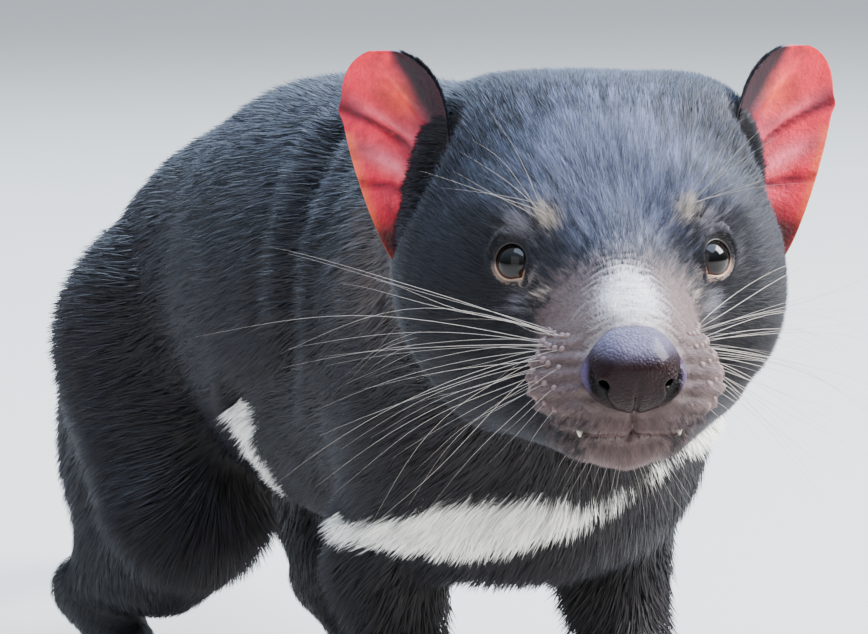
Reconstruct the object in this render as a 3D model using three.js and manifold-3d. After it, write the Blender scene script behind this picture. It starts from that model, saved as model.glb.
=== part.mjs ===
import * as THREE from 'three';
import { mergeVertices } from 'three/addons/utils/BufferGeometryUtils.js';
import Module from 'manifold-3d';

// A Tasmanian devil at life size, standing on four feet with its head turned to its right.
// Millimetres, +Z up. The nose points to -Y and the animal's left side is towards +X.
// The surface is the outline of the coat. Places are given from the middle of the forefeet,
// and the whole is moved at the end so that its origin is under the middle of its box.

const GAP = 0.3;
const SIDES = { left: 1, right: -1 };
const degrees = THREE.MathUtils.degToRad;

// Head: where the midpoint of the eyes is, and how the head is turned and lowered.
const EYE_MIDPOINT = [-36, -130, 238];
const HEAD_TURN = degrees(-21);
const HEAD_NOD = degrees(5);

// Trunk: the masses under the coat.
const RIB_CAGE = { at: [0, 60, 190], radii: [62, 116, 86] };
const LOIN = { at: [0, 152, 186], radii: [65, 112, 86] };
const PELVIS = { at: [0, 250, 166], radii: [60, 68, 74] };
const BREAST = { at: [0, -14, 180], radii: [47, 52, 68] };
const NECK = { from: [0, 10, 210], fromRadius: 59, to: [-24, -74, 230], toRadius: 56 };
const SHOULDER_BLADE = { at: [29, 8, 176], radii: [25, 46, 62] };
const HAUNCH = { at: [43, 259, 116], radii: [30, 74, 74] };
const TRUNK_VALLEY = 36;
const HAUNCH_VALLEY = 24;

// Legs: joints of the left leg as standing square, their radii, and how far each foot is set back.
const SHOULDER = { at: [34, -12, 164], radius: 26 };
const ELBOW = { at: [40, 24, 114], radius: 20 };
const WRIST = { at: [38, 2, 34], radius: 13.5 };
const FORE_STEP = { left: -15, right: 12 };
const HIP = { at: [36, 254, 156], radius: 44 };
const KNEE = { at: [47, 198, 96], radius: 28 };
const SHANK_TOP_RADIUS = 24;
const HOCK = { at: [49, 304, 42], radius: 14.5 };
const HIND_BALL = { at: [48, 244, 16], radius: 13 };
const HIND_STEP = { left: -16, right: 12 };
const LIMB_VALLEY = 18;
const TAIL_VALLEY = 30;

// Feet: toes spread from the palm, soles cut flat where they press on the floor.
const SOLE_SINK = 1.6;
const PALM_HEIGHT = 12;
const PALM_ROOT_RADIUS = 13;
const TOE = { radius: 6.4, tip: 5.3, height: 5, arch: 3.5, root: 7, web: 4 };
const FOREFOOT = {
  toes: 5,
  spread: degrees(27),
  length: 22,
  palm: [17, 17, 11],
  ahead: 12,
  cut: 36,
  reach: 40,
};
const HINDFOOT = {
  toes: 4,
  spread: degrees(15),
  length: 24,
  palm: [16, 18, 12],
  ahead: 6,
  cut: 71,
  reach: 90,
};
const CLAW = { length: 15, radius: 2.35, lift: 1.7, rise: 2.5, drop: 7.4, taper: 0.86 };
const FOOT_HALF_WIDTH = 36;
const FOOT_AHEAD = 40;

// Tail: points along its middle, from inside the rump to the tip, with the radius at each.
const TAIL_POINTS = [
  { at: [0, 284, 184], radius: 30 },
  { at: [7, 342, 160], radius: 25 },
  { at: [24, 404, 122], radius: 21 },
  { at: [48, 458, 84], radius: 16 },
  { at: [74, 504, 56], radius: 9 },
];

// Head masses, measured from the midpoint of the eyes with the head level and straight.
const CRANIUM = { at: [0, 50, 2], radii: [56, 62, 48] };
const TEMPLE = { at: [32, 62, 19], radii: [27, 36, 27.5] };
const CHEEK = { at: [30, 36, -20], radii: [32, 42, 37] };
const BROW = { at: [25, 10, 13], radii: [16, 16, 9] };
const MUZZLE = { from: [0, 8, -16], fromRadius: 31, to: [0, -34, -24], toRadius: 23 };
const NOSE_BRIDGE = { from: [0, 0, 4], fromRadius: 15, to: [0, -48, -13], toRadius: 10 };
const WHISKER_PAD = { at: [14, -38, -31], radii: [17, 19, 14] };
const UPPER_LIP = { at: [9, -50, -37], radii: [11, 9, 7.5] };
const CHIN = { from: [0, 14, -50], fromRadius: 22, to: [0, -36, -49], toRadius: 11 };
const JAW_SIDE = { from: [30, 32, -46], fromRadius: 19, to: [12, -30, -47], toRadius: 11 };
const THROAT = { at: [0, 52, -34], radii: [46, 48, 34] };
const EAR_ROOT = { at: [51, 82, 8], radii: [15, 16, 25] };
const HEAD_VALLEY = 16;
const FACE_VALLEY = 9;
const LIP_VALLEY = 3.5;
const NOSE_VALLEY = 5;

// Eyes: round balls set back under lids.
const EYE = { at: [29.6, -0.6, -1], radius: 8.2, gazeOut: degrees(30), gazeUp: degrees(6) };
const LID_THICKNESS = 1.2;
const EYE_OPENING = { halfWidth: 6.2, halfHeight: 5.7 };

// Nose pad and nostrils.
const NOSE_PAD = { at: [0, -58, -22], radii: [15.5, 10.5, 14] };
const NOSE_WING = { at: [10.5, -57, -27], radii: [5.8, 8, 7.5] };
const NOSTRIL = { at: [9.4, -67, -24.5], radius: 2.6, depth: 9, slitTo: [14, -60.5, -22] };

// Mouth: its line seen from the side, from the lips back to the corner and down behind the jaw.
const MOUTH_LINE = [[-80, -43.5], [-46, -43], [-22, -38], [4, -34], [16, -40], [26, -62], [30, -90]];
const MOUTH_OPENING = 0.5;
const CANINE = { at: [15, -47, -38], tip: [15.6, -50, -46.5], radius: 2.3, taper: 0.75 };

// Ears: a cupped leaf on each side.
const EAR = {
  foot: [59, 56, -15],
  height: 73,
  lean: degrees(7),
  halfWidth: 23,
  faceOut: degrees(24),
  swell: 0.48,
  tipRound: 5,
  cup: 15,
  cupAtFoot: 1.25,
  cupLoss: 0.75,
  thickness: 3,
  rim: 0.9,
};

// Whiskers: rows on each pad, longest at the back.
const WHISKER = {
  rows: 4,
  columns: 4,
  root: 0.62,
  taper: 0.78,
  length: [46, 112],
  lowerLoss: 0.07,
  uneven: 0.12,
  rise: degrees(14),
  rowStep: degrees(14),
  sweep: degrees(-25),
  columnStep: degrees(18),
  backwards: 0.18,
  droop: 0.34,
  onPad: { out: 0.7, along: 0.8, top: 0.5, rowDrop: 0.27 },
};

// Cells of the surface mesher for each group of nodes.
const CELL = {
  head: [8.8, 8.4, 8.2],
  trunk: [17, 22, 17],
  leg: [13.5, 15, 15],
  forefoot: [6.2, 7.4, 6.4],
  hindfoot: [7.2, 9, 7],
  tail: [10.5, 16, 10.5],
  nose: [5, 4.8, 5],
  nostril: [2, 2.2, 2],
};

const COLOURS = {
  coat: 0x1d1b1c,
  muzzle: 0x4a3c3a,
  nose: 0x3a2a30,
  ear: 0xb0555a,
  eye: 0x1a0f0a,
  paw: 0x2a2221,
};

const wasm = await Module();
wasm.setup();

// Distance fields, negative inside. Each takes a point as three numbers.
const ellipsoid = ([cx, cy, cz], [rx, ry, rz]) => (x, y, z) => {
  const [px, py, pz] = [(x - cx) / rx, (y - cy) / ry, (z - cz) / rz];
  const reach = Math.hypot(px, py, pz);
  const slope = Math.hypot(px / rx, py / ry, pz / rz);
  return slope < 1e-9 ? -Math.min(rx, ry, rz) : (reach * (reach - 1)) / slope;
};

// A limb is the hull of two balls.
const limb = (a, ra, b, rb) => {
  const [bx, by, bz] = [b[0] - a[0], b[1] - a[1], b[2] - a[2]];
  const long = bx * bx + by * by + bz * bz;
  const taper = ra - rb;
  const flank = long - taper * taper;
  return (x, y, z) => {
    const [px, py, pz] = [x - a[0], y - a[1], z - a[2]];
    const along = px * bx + py * by + pz * bz;
    const past = along - long;
    const [ox, oy, oz] = [px * long - bx * along, py * long - by * along, pz * long - bz * along];
    const off = ox * ox + oy * oy + oz * oz;
    const side = Math.sign(taper) * taper * taper * off;
    if (Math.sign(past) * flank * past * past * long > side) {
      return Math.sqrt(off + past * past * long) / long - rb;
    }
    if (Math.sign(along) * flank * along * along * long < side) {
      return Math.sqrt(off + along * along * long) / long - ra;
    }
    return (Math.sqrt((off * flank) / long) + along * taper) / long - ra;
  };
};

// Melting joins masses one after another, each with its own width of rounded valley.
const melt = masses => (x, y, z) => {
  let d = 1e6;
  for (const [field, valley] of masses) {
    const e = field(x, y, z);
    const h = Math.max(valley - Math.abs(d - e), 0) / valley;
    d = Math.min(d, e) - (h * h * valley) / 4;
  }
  return d;
};

const mirror = ([x, y, z], side) => [side * x, y, z];
const stepped = ([x, y, z], side, step) => [side * x, y + step, z];
const mass = ({ at, radii }, side = 1) => ellipsoid(mirror(at, side), radii);
const bar = ({ from, fromRadius, to, toRadius }, side = 1) =>
  limb(mirror(from, side), fromRadius, mirror(to, side), toRadius);

// The head's own frame, from its level place to where it is carried.
const HEAD_FRAME = new THREE.Matrix4()
  .makeTranslation(...EYE_MIDPOINT)
  .multiply(new THREE.Matrix4().makeRotationZ(HEAD_TURN))
  .multiply(new THREE.Matrix4().makeRotationX(HEAD_NOD));
const BODY_TO_HEAD = HEAD_FRAME.clone().invert();
const moved = (field, matrix) => {
  const e = matrix.elements;
  return (x, y, z) =>
    field(
      e[0] * x + e[4] * y + e[8] * z + e[12],
      e[1] * x + e[5] * y + e[9] * z + e[13],
      e[2] * x + e[6] * y + e[10] * z + e[14],
    );
};

function headField() {
  const masses = [[mass(CRANIUM), 1], [mass(THROAT), HEAD_VALLEY]];
  for (const side of [1, -1]) {
    masses.push([mass(CHEEK, side), HEAD_VALLEY], [mass(TEMPLE, side), HEAD_VALLEY]);
    masses.push([mass(EAR_ROOT, side), FACE_VALLEY]);
  }
  masses.push([bar(MUZZLE), HEAD_VALLEY], [bar(NOSE_BRIDGE), FACE_VALLEY]);
  for (const side of [1, -1]) {
    masses.push([mass(BROW, side), HEAD_VALLEY], [mass(WHISKER_PAD, side), FACE_VALLEY]);
    masses.push([mass(UPPER_LIP, side), FACE_VALLEY]);
  }
  const upper = melt(masses);
  const jaw = melt([[bar(CHIN), 1], [bar(JAW_SIDE, 1), FACE_VALLEY], [bar(JAW_SIDE, -1), FACE_VALLEY]]);
  return melt([[upper, 1], [jaw, LIP_VALLEY]]);
}

const noseField = melt([
  [mass(NOSE_PAD), 1],
  [mass(NOSE_WING, 1), NOSE_VALLEY],
  [mass(NOSE_WING, -1), NOSE_VALLEY],
]);

function foreJoints(side, name) {
  const step = FORE_STEP[name];
  return {
    shoulder: stepped(SHOULDER.at, side, step * 0.2),
    elbow: stepped(ELBOW.at, side, step * 0.6),
    wrist: stepped(WRIST.at, side, step),
    palm: [side * WRIST.at[0], WRIST.at[1] + step - FOREFOOT.ahead, PALM_HEIGHT],
  };
}

function hindJoints(side, name) {
  const step = HIND_STEP[name];
  return {
    hip: stepped(HIP.at, side, step * 0.1),
    knee: stepped(KNEE.at, side, step * 0.5),
    hock: stepped(HOCK.at, side, step),
    ball: stepped(HIND_BALL.at, side, step),
    palm: [side * HIND_BALL.at[0], HIND_BALL.at[1] + step - HINDFOOT.ahead, PALM_HEIGHT],
  };
}

// Everything from the neck back, without the toes.
function bodyField() {
  const masses = [
    [mass(RIB_CAGE), 1],
    [mass(LOIN), TRUNK_VALLEY],
    [mass(PELVIS), TRUNK_VALLEY],
    [mass(BREAST), TRUNK_VALLEY],
    [bar(NECK), TRUNK_VALLEY],
  ];
  for (const [name, side] of Object.entries(SIDES)) {
    const fore = foreJoints(side, name);
    const hind = hindJoints(side, name);
    masses.push(
      [mass(SHOULDER_BLADE, side), TRUNK_VALLEY],
      [mass(HAUNCH, side), HAUNCH_VALLEY],
      [limb(fore.shoulder, SHOULDER.radius, fore.elbow, ELBOW.radius), LIMB_VALLEY],
      [limb(fore.elbow, ELBOW.radius, fore.wrist, WRIST.radius), LIMB_VALLEY],
      [limb(fore.wrist, WRIST.radius, fore.palm, PALM_ROOT_RADIUS), FACE_VALLEY],
      [limb(hind.hip, HIP.radius, hind.knee, KNEE.radius), LIMB_VALLEY],
      [limb(hind.knee, SHANK_TOP_RADIUS, hind.hock, HOCK.radius), LIMB_VALLEY],
      [limb(hind.hock, HOCK.radius, hind.ball, HIND_BALL.radius), FACE_VALLEY],
    );
  }
  masses.push([tailField(), TAIL_VALLEY]);
  return melt(masses);
}

function tailField() {
  const middle = new THREE.CatmullRomCurve3(TAIL_POINTS.map(({ at }) => new THREE.Vector3(...at)));
  const steps = 12;
  const last = TAIL_POINTS.length - 1;
  const station = i => {
    const t = (i / steps) * last;
    const before = Math.min(Math.floor(t), last - 1);
    const [a, b] = [TAIL_POINTS[before].radius, TAIL_POINTS[before + 1].radius];
    return { at: middle.getPoint(i / steps).toArray(), radius: a + (b - a) * (t - before) };
  };
  return melt(Array.from({ length: steps }, (_, i) => {
    const [a, b] = [station(i), station(i + 1)];
    return [limb(a.at, a.radius, b.at, b.radius), 1];
  }));
}

const body = bodyField();
const headInBody = moved(headField(), BODY_TO_HEAD);
const animal = melt([[body, 1], [headInBody, HEAD_VALLEY]]);
const animalInHead = moved(animal, HEAD_FRAME);

// Surface of a field over a box of cells: one point in each cell that the surface crosses,
// moved onto the surface, and a face across each cell edge that it cuts.
function surface(field, [x0, y0, z0], [x1, y1, z1], cell) {
  const count = [x1 - x0, y1 - y0, z1 - z0].map((span, i) => Math.ceil(span / cell[i]) + 1);
  const [nx, ny, nz] = count;
  const at = (i, j, k) => i + nx * (j + ny * k);
  const value = new Float64Array(nx * ny * nz);
  for (let k = 0; k < nz; k++) {
    for (let j = 0; j < ny; j++) {
      for (let i = 0; i < nx; i++) {
        const edge = i === 0 || j === 0 || k === 0 || i === nx - 1 || j === ny - 1 || k === nz - 1;
        value[at(i, j, k)] = edge ? 1 : field(x0 + i * cell[0], y0 + j * cell[1], z0 + k * cell[2]);
      }
    }
  }
  const corners = [0, 1, 2, 3, 4, 5, 6, 7].map(c => [c & 1, (c >> 1) & 1, (c >> 2) & 1]);
  const edges = [];
  for (let a = 0; a < 8; a++) {
    for (const bit of [1, 2, 4]) {
      if (!(a & bit)) edges.push([a, a | bit]);
    }
  }
  const points = [];
  const pointOf = new Int32Array(nx * ny * nz).fill(-1);
  for (let k = 0; k < nz - 1; k++) {
    for (let j = 0; j < ny - 1; j++) {
      for (let i = 0; i < nx - 1; i++) {
        const v = corners.map(([a, b, c]) => value[at(i + a, j + b, k + c)]);
        const sum = [0, 0, 0];
        let hits = 0;
        for (const [a, b] of edges) {
          if (v[a] < 0 === v[b] < 0) continue;
          const t = v[a] / (v[a] - v[b]);
          for (let m = 0; m < 3; m++) sum[m] += corners[a][m] + t * (corners[b][m] - corners[a][m]);
          hits++;
        }
        if (!hits) continue;
        pointOf[at(i, j, k)] = points.length;
        const p = [i, j, k].map((n, m) => [x0, y0, z0][m] + (n + sum[m] / hits) * cell[m]);
        points.push(ontoSurface(field, p, Math.min(...cell) * 0.3));
      }
    }
  }
  const faces = [];
  const strides = [1, nx, nx * ny];
  for (let k = 0; k < nz - 1; k++) {
    for (let j = 0; j < ny - 1; j++) {
      for (let i = 0; i < nx - 1; i++) {
        const here = at(i, j, k);
        for (let axis = 0; axis < 3; axis++) {
          if ([i, j, k].some((n, m) => m !== axis && n === 0)) continue;
          const next = here + strides[axis];
          if (value[here] < 0 === value[next] < 0) continue;
          const [u, w] = [strides[(axis + 1) % 3], strides[(axis + 2) % 3]];
          const quad = [here - u - w, here - w, here, here - u].map(n => pointOf[n]);
          if (value[here] >= 0) quad.reverse();
          faces.push(...splitQuad(quad, points));
        }
      }
    }
  }
  return solidFrom(points.flat(), faces);
}

// Two short steps along the field's slope bring a point onto the surface.
function ontoSurface(field, p, longest) {
  const h = 0.5;
  for (let step = 0; step < 2; step++) {
    const d = field(...p);
    const slope = [0, 1, 2].map(m => {
      const q = [...p];
      q[m] += h;
      return (field(...q) - d) / h;
    });
    const size = Math.hypot(...slope);
    if (size < 0.2 || Math.abs(d) > 3 * longest) return p;
    const move = Math.max(-longest, Math.min(longest, d / size));
    p = p.map((c, m) => c - (move * slope[m]) / size);
  }
  return p;
}

function splitQuad([a, b, c, d], points) {
  const far = (m, n) => Math.hypot(...points[m].map((v, i) => v - points[n][i]));
  return far(a, c) < far(b, d) ? [a, b, c, a, c, d] : [a, b, d, b, c, d];
}

function solidFrom(positions, indices) {
  const mesh = new wasm.Mesh({
    numProp: 3,
    vertProperties: new Float32Array(positions),
    triVerts: new Uint32Array(indices),
  });
  return new wasm.Manifold(mesh);
}

function solid(geometry) {
  geometry.deleteAttribute('normal');
  geometry.deleteAttribute('uv');
  const merged = mergeVertices(geometry, 1e-4);
  return solidFrom(merged.attributes.position.array, merged.index.array);
}

// A closed skin through rings of points, with a fan to the middle of each end ring.
function loft(rings) {
  const n = rings[0].length;
  const points = rings.flat();
  const middle = ring => ring.reduce((sum, p) => sum.add(p), new THREE.Vector3()).divideScalar(n);
  points.push(middle(rings[0]), middle(rings.at(-1)));
  const [first, last] = [points.length - 2, points.length - 1];
  const faces = [];
  for (let i = 0; i < n; i++) {
    const j = (i + 1) % n;
    faces.push(first, j, i, last, (rings.length - 1) * n + i, (rings.length - 1) * n + j);
    for (let r = 0; r < rings.length - 1; r++) {
      const [a, b, c, d] = [r * n + i, r * n + j, (r + 1) * n + j, (r + 1) * n + i];
      faces.push(a, b, c, a, c, d);
    }
  }
  let volume = 0;
  for (let f = 0; f < faces.length; f += 3) {
    const [a, b, c] = [0, 1, 2].map(m => points[faces[f + m]]);
    volume += a.dot(b.clone().cross(c));
  }
  if (volume < 0) faces.reverse();
  return solidFrom(points.flatMap(p => p.toArray()), faces);
}

// A tapering round body along a route, given as a function from 0 to 1 to a point and a radius.
function spine(route, segments, sides) {
  const rings = [];
  for (let i = 0; i <= segments; i++) {
    const t = i / segments;
    const { at, radius } = route(t);
    const ahead = route(Math.min(t + 0.02, 1)).at.sub(route(Math.max(t - 0.02, 0)).at).normalize();
    const across = new THREE.Vector3(-ahead.y, ahead.x, 0).normalize();
    const over = ahead.clone().cross(across);
    const ring = [];
    for (let k = 0; k < sides; k++) {
      const angle = (2 * Math.PI * k) / sides;
      ring.push(at.clone().addScaledVector(across, radius * Math.cos(angle))
        .addScaledVector(over, radius * Math.sin(angle)));
    }
    rings.push(ring);
  }
  return loft(rings);
}

// Everything on the far side of a plane, as a very large block.
function beyond(point, normal) {
  const size = 1200;
  const n = new THREE.Vector3(...normal).normalize();
  const turn = new THREE.Quaternion().setFromUnitVectors(new THREE.Vector3(0, 0, 1), n);
  const block = new THREE.BoxGeometry(size, size, size).applyQuaternion(turn);
  const centre = new THREE.Vector3(...point).addScaledVector(n, size / 2);
  return solid(block.translate(...centre.toArray()));
}

// The side of a plane that its normal points to, and the other, each less half of the gap
// when it is kept, and so with half of the gap added when it is cut away.
function planeAhead({ point, normal }) {
  const n = new THREE.Vector3(...normal).normalize();
  return beyond(new THREE.Vector3(...point).addScaledVector(n, -GAP / 2).toArray(), normal);
}
const planeBehind = ({ point, normal }) => planeAhead({ point, normal: normal.map(v => -v) });

// A plane through a solid gives the part behind it and the part ahead of it, a gap apart.
const part = (whole, plane) => [whole.subtract(planeAhead(plane)), whole.subtract(planeBehind(plane))];

const bySize = whole => whole.decompose().sort((a, b) => b.volume() - a.volume());
const keepLargest = whole => bySize(whole)[0];

const ball = (radii, centre, [across, down] = [14, 9]) =>
  solid(new THREE.SphereGeometry(1, across, down).rotateX(Math.PI / 2).scale(...radii)
    .translate(...centre));

const block = ([x0, y0, z0], [x1, y1, z1]) =>
  solid(new THREE.BoxGeometry(x1 - x0, y1 - y0, z1 - z0)
    .translate((x0 + x1) / 2, (y0 + y1) / 2, (z0 + z1) / 2));

const model = new THREE.Group();

function addNode(name, shape, colour, roughness = 0.9, matrix = new THREE.Matrix4()) {
  const mesh = keepLargest(shape).getMesh();
  const geometry = new THREE.BufferGeometry();
  geometry.setAttribute('position', new THREE.BufferAttribute(mesh.vertProperties, mesh.numProp));
  geometry.setIndex(new THREE.BufferAttribute(mesh.triVerts, 1));
  geometry.applyMatrix4(matrix);
  geometry.computeVertexNormals();
  const material = new THREE.MeshStandardMaterial({ color: colour, roughness, metalness: 0 });
  const node = new THREE.Mesh(geometry, material);
  node.name = name;
  model.add(node);
}

// Boxes that hold each group of masses. That of the head is in the head's own frame.
const HEAD_BOX = [[-84, -74, -84], [84, 118, 62]];
const NOSE_BOX = [[-23, -75, -42], [23, -41, 0]];
const TRUNK_BOX = [[-96, -130, 60], [96, 374, 300]];
const TAIL_BOX = [[-24, 304, 30], [104, 545, 215]];
const LEG_INNER = 4;
const LEG_OUTER = 100;
const FORELEG_REACH = { y: [-74, 90], z: [22, 240] };
const HINDLEG_REACH = { y: [136, 372], z: [22, 215] };

// Planes that part the body. Those of the head are given in the head's own frame.
const HEAD_PLANE = { point: [0, 66, -10], normal: [0, 0.864, -0.504] };
const MUZZLE_PLANE = { point: [0, -20, 0], normal: [0, 1, 0] };
const NECK_PLANE = { point: [0, -26, 210], normal: [0, 0.86, -0.51] };
const CHEST_PLANE = { point: [0, 112, 190], normal: [0, 1, 0] };
const RUMP_PLANE = { point: [0, 214, 190], normal: [0, 1, 0] };
const TAIL_PLANE = { point: [7, 338, 162], normal: [0.14, 0.9, -0.42] };
const TAIL_MIDDLE = { point: [32, 424, 108], normal: [0.3, 0.75, -0.56] };
const SHANK_PLANE = { point: [48, 270, 56], normal: [0, 0.87, -0.49] };
const TRUNK_FLOOR = 88;
const UNDERGROUND = [[-400, -400, -50], [400, 600, 0]];
const FORE_SEAM = { at: [54, 12, 150], radii: [50, 62, 78] };
const HIND_SEAM = { at: [58, 250, 116], radii: [50, 100, 90] };
const earPlane = side => ({ point: [side * 62.5, 66, 17], normal: [side * 0.86, 0, 0.51] });

function mouthSlit() {
  const half = MOUTH_OPENING / 2;
  const above = MOUTH_LINE.map(([y, z]) => new THREE.Vector2(y + half, z + half));
  const below = MOUTH_LINE.map(([y, z]) => new THREE.Vector2(y - half, z - half));
  const sheet = new THREE.Shape([...above, ...below.reverse()]);
  const width = 180;
  const axes = [[0, 1, 0], [0, 0, 1], [1, 0, 0]].map(v => new THREE.Vector3(...v));
  return solid(new THREE.ExtrudeGeometry(sheet, { depth: width, bevelEnabled: false })
    .translate(0, 0, -width / 2)
    .applyMatrix4(new THREE.Matrix4().makeBasis(...axes)));
}

const gaze = side => new THREE.Vector3(
  side * Math.sin(EYE.gazeOut) * Math.cos(EYE.gazeUp),
  -Math.cos(EYE.gazeOut) * Math.cos(EYE.gazeUp),
  Math.sin(EYE.gazeUp),
);
const eyeball = (side, extra = 0) => {
  const radius = EYE.radius + extra;
  return ball([radius, radius, radius], mirror(EYE.at, side));
};

// The opening between the lids widens a little outwards.
function lidOpening(side) {
  const depth = 22;
  const turn = new THREE.Quaternion().setFromUnitVectors(new THREE.Vector3(0, 1, 0), gaze(side));
  return solid(new THREE.CylinderGeometry(1.5, 0.7, depth, 16)
    .scale(EYE_OPENING.halfWidth, 1, EYE_OPENING.halfHeight)
    .translate(0, depth / 2, 0)
    .applyQuaternion(turn)
    .translate(...mirror(EYE.at, side)));
}

function ear(side) {
  const up = new THREE.Vector3(side * Math.sin(EAR.lean), 0.1, Math.cos(EAR.lean)).normalize();
  const front = new THREE.Vector3(side * Math.sin(EAR.faceOut), -Math.cos(EAR.faceOut), 0);
  const across = new THREE.Vector3(side * Math.cos(EAR.faceOut), Math.sin(EAR.faceOut), 0);
  const foot = new THREE.Vector3(...mirror(EAR.foot, side));
  const [rings, half, tip] = [8, 6, 0.985];
  return loft(Array.from({ length: rings + 1 }, (_, r) => {
    const t = tip * Math.sin((Math.PI * r) / rings / 2);
    const width = EAR.halfWidth * (t + 0.05) ** EAR.swell * Math.sqrt(1 - t ** EAR.tipRound);
    const cup = (EAR.cup * width * (EAR.cupAtFoot - EAR.cupLoss * t)) / EAR.halfWidth;
    return Array.from({ length: 2 * half }, (_, i) => {
      const s = Math.cos((Math.PI * (i + 0.5)) / half);
      const isFront = i < half;
      const hollow = -cup * (1 - s * s);
      const skin = isFront ? EAR.rim / 2 : -EAR.rim / 2 - EAR.thickness * (1 - s * s);
      return foot.clone().addScaledVector(up, EAR.height * t)
        .addScaledVector(across, width * s)
        .addScaledVector(front, hollow + skin);
    });
  }));
}

function canine(side, extra = 0) {
  const root = new THREE.Vector3(...mirror(CANINE.at, side));
  const tip = new THREE.Vector3(...mirror(CANINE.tip, side));
  const [segments, sides] = [2, 7];
  return spine(t => ({
    at: root.clone().lerp(tip, t),
    radius: CANINE.radius * (1 - CANINE.taper * t) + extra,
  }), segments, sides);
}

// Whiskers leave the pad in rows, fan outwards and back, and droop as they thin.
function whisker(side, row, column) {
  const rise = WHISKER.rise - WHISKER.rowStep * row;
  const sweep = WHISKER.sweep + WHISKER.columnStep * column;
  const away = new THREE.Vector3(side * Math.cos(sweep) * Math.cos(rise), Math.sin(sweep), Math.sin(rise));
  const [shortest, longest] = WHISKER.length;
  const reach = (column + 1) / WHISKER.columns;
  const uneven = 1 + WHISKER.uneven * Math.sin(7 * row + 3 * column + side);
  const long = (shortest + (longest - shortest) * reach) * uneven * (1 - WHISKER.lowerLoss * row);
  const { out, along, top, rowDrop } = WHISKER.onPad;
  const share = [side * out, along * Math.sin(sweep), top - rowDrop * row];
  const place = WHISKER_PAD.radii.map((radius, i) => radius * share[i]);
  const root = new THREE.Vector3(...mirror(WHISKER_PAD.at, side)).add(new THREE.Vector3(...place));
  return spine(t => ({
    at: root.clone().addScaledVector(away, long * t)
      .add(new THREE.Vector3(0, WHISKER.backwards * long * t * t, -WHISKER.droop * long * t * t)),
    radius: WHISKER.root * (1 - WHISKER.taper * t),
  }), 3, 3);
}

const nosePad = extra =>
  surface((x, y, z) => noseField(x, y, z) - extra, ...NOSE_BOX, CELL.nose);

function nostril(side) {
  const [x, y, z] = mirror(NOSTRIL.at, side);
  const r = NOSTRIL.radius;
  const field = melt([
    [limb([x, y - 3, z], r, [x * 0.8, y + NOSTRIL.depth, z + 2], r * 0.6), 1],
    [limb([x, y, z - 1], r * 0.62, mirror(NOSTRIL.slitTo, side), r * 0.42), 1],
  ]);
  const [around, behind] = [11, NOSTRIL.depth + 6];
  return surface(field, [x - around, y - 9, z - around], [x + around, y + behind, z + 8], CELL.nostril);
}

function makeHead() {
  let head = part(surface(animalInHead, ...HEAD_BOX, CELL.head), HEAD_PLANE)[0];
  for (const side of [1, -1]) {
    head = head.add(ear(side)).add(eyeball(side, LID_THICKNESS));
    head = head.subtract(eyeball(side, GAP)).subtract(lidOpening(side));
  }
  head = head.subtract(nosePad(GAP * 1.3));
  let [upper, jaw] = bySize(head.subtract(mouthSlit()));
  let [muzzle, skull] = part(upper, MUZZLE_PLANE);
  muzzle = keepLargest(muzzle);
  for (const [name, side] of Object.entries(SIDES)) {
    let shell;
    [skull, shell] = part(skull, earPlane(side));
    addNode(`ear_${name}`, shell, COLOURS.ear, 0.8, HEAD_FRAME);
    addNode(`eye_${name}`, eyeball(side), COLOURS.eye, 0.05, HEAD_FRAME);
    jaw = jaw.subtract(canine(side, GAP));
    muzzle = muzzle.add(canine(side));
    for (let row = 0; row < WHISKER.rows; row++) {
      for (let column = 0; column < WHISKER.columns; column++) {
        muzzle = muzzle.add(whisker(side, row, column));
      }
    }
  }
  const nose = nosePad(0).subtract(nostril(1)).subtract(nostril(-1));
  addNode('head', skull, COLOURS.coat, 0.85, HEAD_FRAME);
  addNode('muzzle', muzzle, COLOURS.muzzle, 0.8, HEAD_FRAME);
  addNode('lower_jaw', jaw, COLOURS.coat, 0.85, HEAD_FRAME);
  addNode('nose_pad', nose, COLOURS.nose, 0.25, HEAD_FRAME);
}

// Each leg is parted from the trunk along a rounded seam.
const legSeam = ({ at, radii }, side, step, extra) =>
  ball(radii.map(r => r + extra), [side * at[0], at[1] + step / 2, at[2]], [14, 8]);

// What belongs to the hind foot: all that is ahead of a plane across the shank, and low down.
function hindfootRegion(name, grow) {
  const [x, y, z] = stepped(SHANK_PLANE.point, 1, HIND_STEP[name]);
  const n = new THREE.Vector3(...SHANK_PLANE.normal).normalize();
  const ahead = beyond([x, y - grow * n.y, z - grow * n.z], SHANK_PLANE.normal);
  const under = block([-200, 200, -50], [200, 400, HINDFOOT.cut + grow]);
  return ahead.intersect(under).add(block([-200, 60, -50], [200, 400, 44 + grow]));
}

// The head's plane, given in the body's frame.
const headPlaneInBody = () => ({
  point: new THREE.Vector3(...HEAD_PLANE.point).applyMatrix4(HEAD_FRAME).toArray(),
  normal: new THREE.Vector3(...HEAD_PLANE.normal).transformDirection(HEAD_FRAME).toArray(),
});

function makeTrunk() {
  let whole = surface(animal, ...TRUNK_BOX, CELL.trunk);
  whole = part(whole, headPlaneInBody())[1].subtract(block([-200, -200, 0], [200, 400, TRUNK_FLOOR]));
  whole = whole.subtract(planeAhead(TAIL_PLANE));
  for (const [name, side] of Object.entries(SIDES)) {
    whole = whole.subtract(legSeam(FORE_SEAM, side, FORE_STEP[name], GAP / 2));
    whole = whole.subtract(legSeam(HIND_SEAM, side, HIND_STEP[name], GAP / 2));
  }
  const [neck, afterNeck] = part(keepLargest(whole), NECK_PLANE);
  const [chest, afterChest] = part(afterNeck, CHEST_PLANE);
  const [belly, rump] = part(afterChest, RUMP_PLANE);
  addNode('neck', neck, COLOURS.coat);
  addNode('chest', chest, COLOURS.coat);
  addNode('belly', belly, COLOURS.coat);
  addNode('rump', rump, COLOURS.coat);
}

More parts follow.
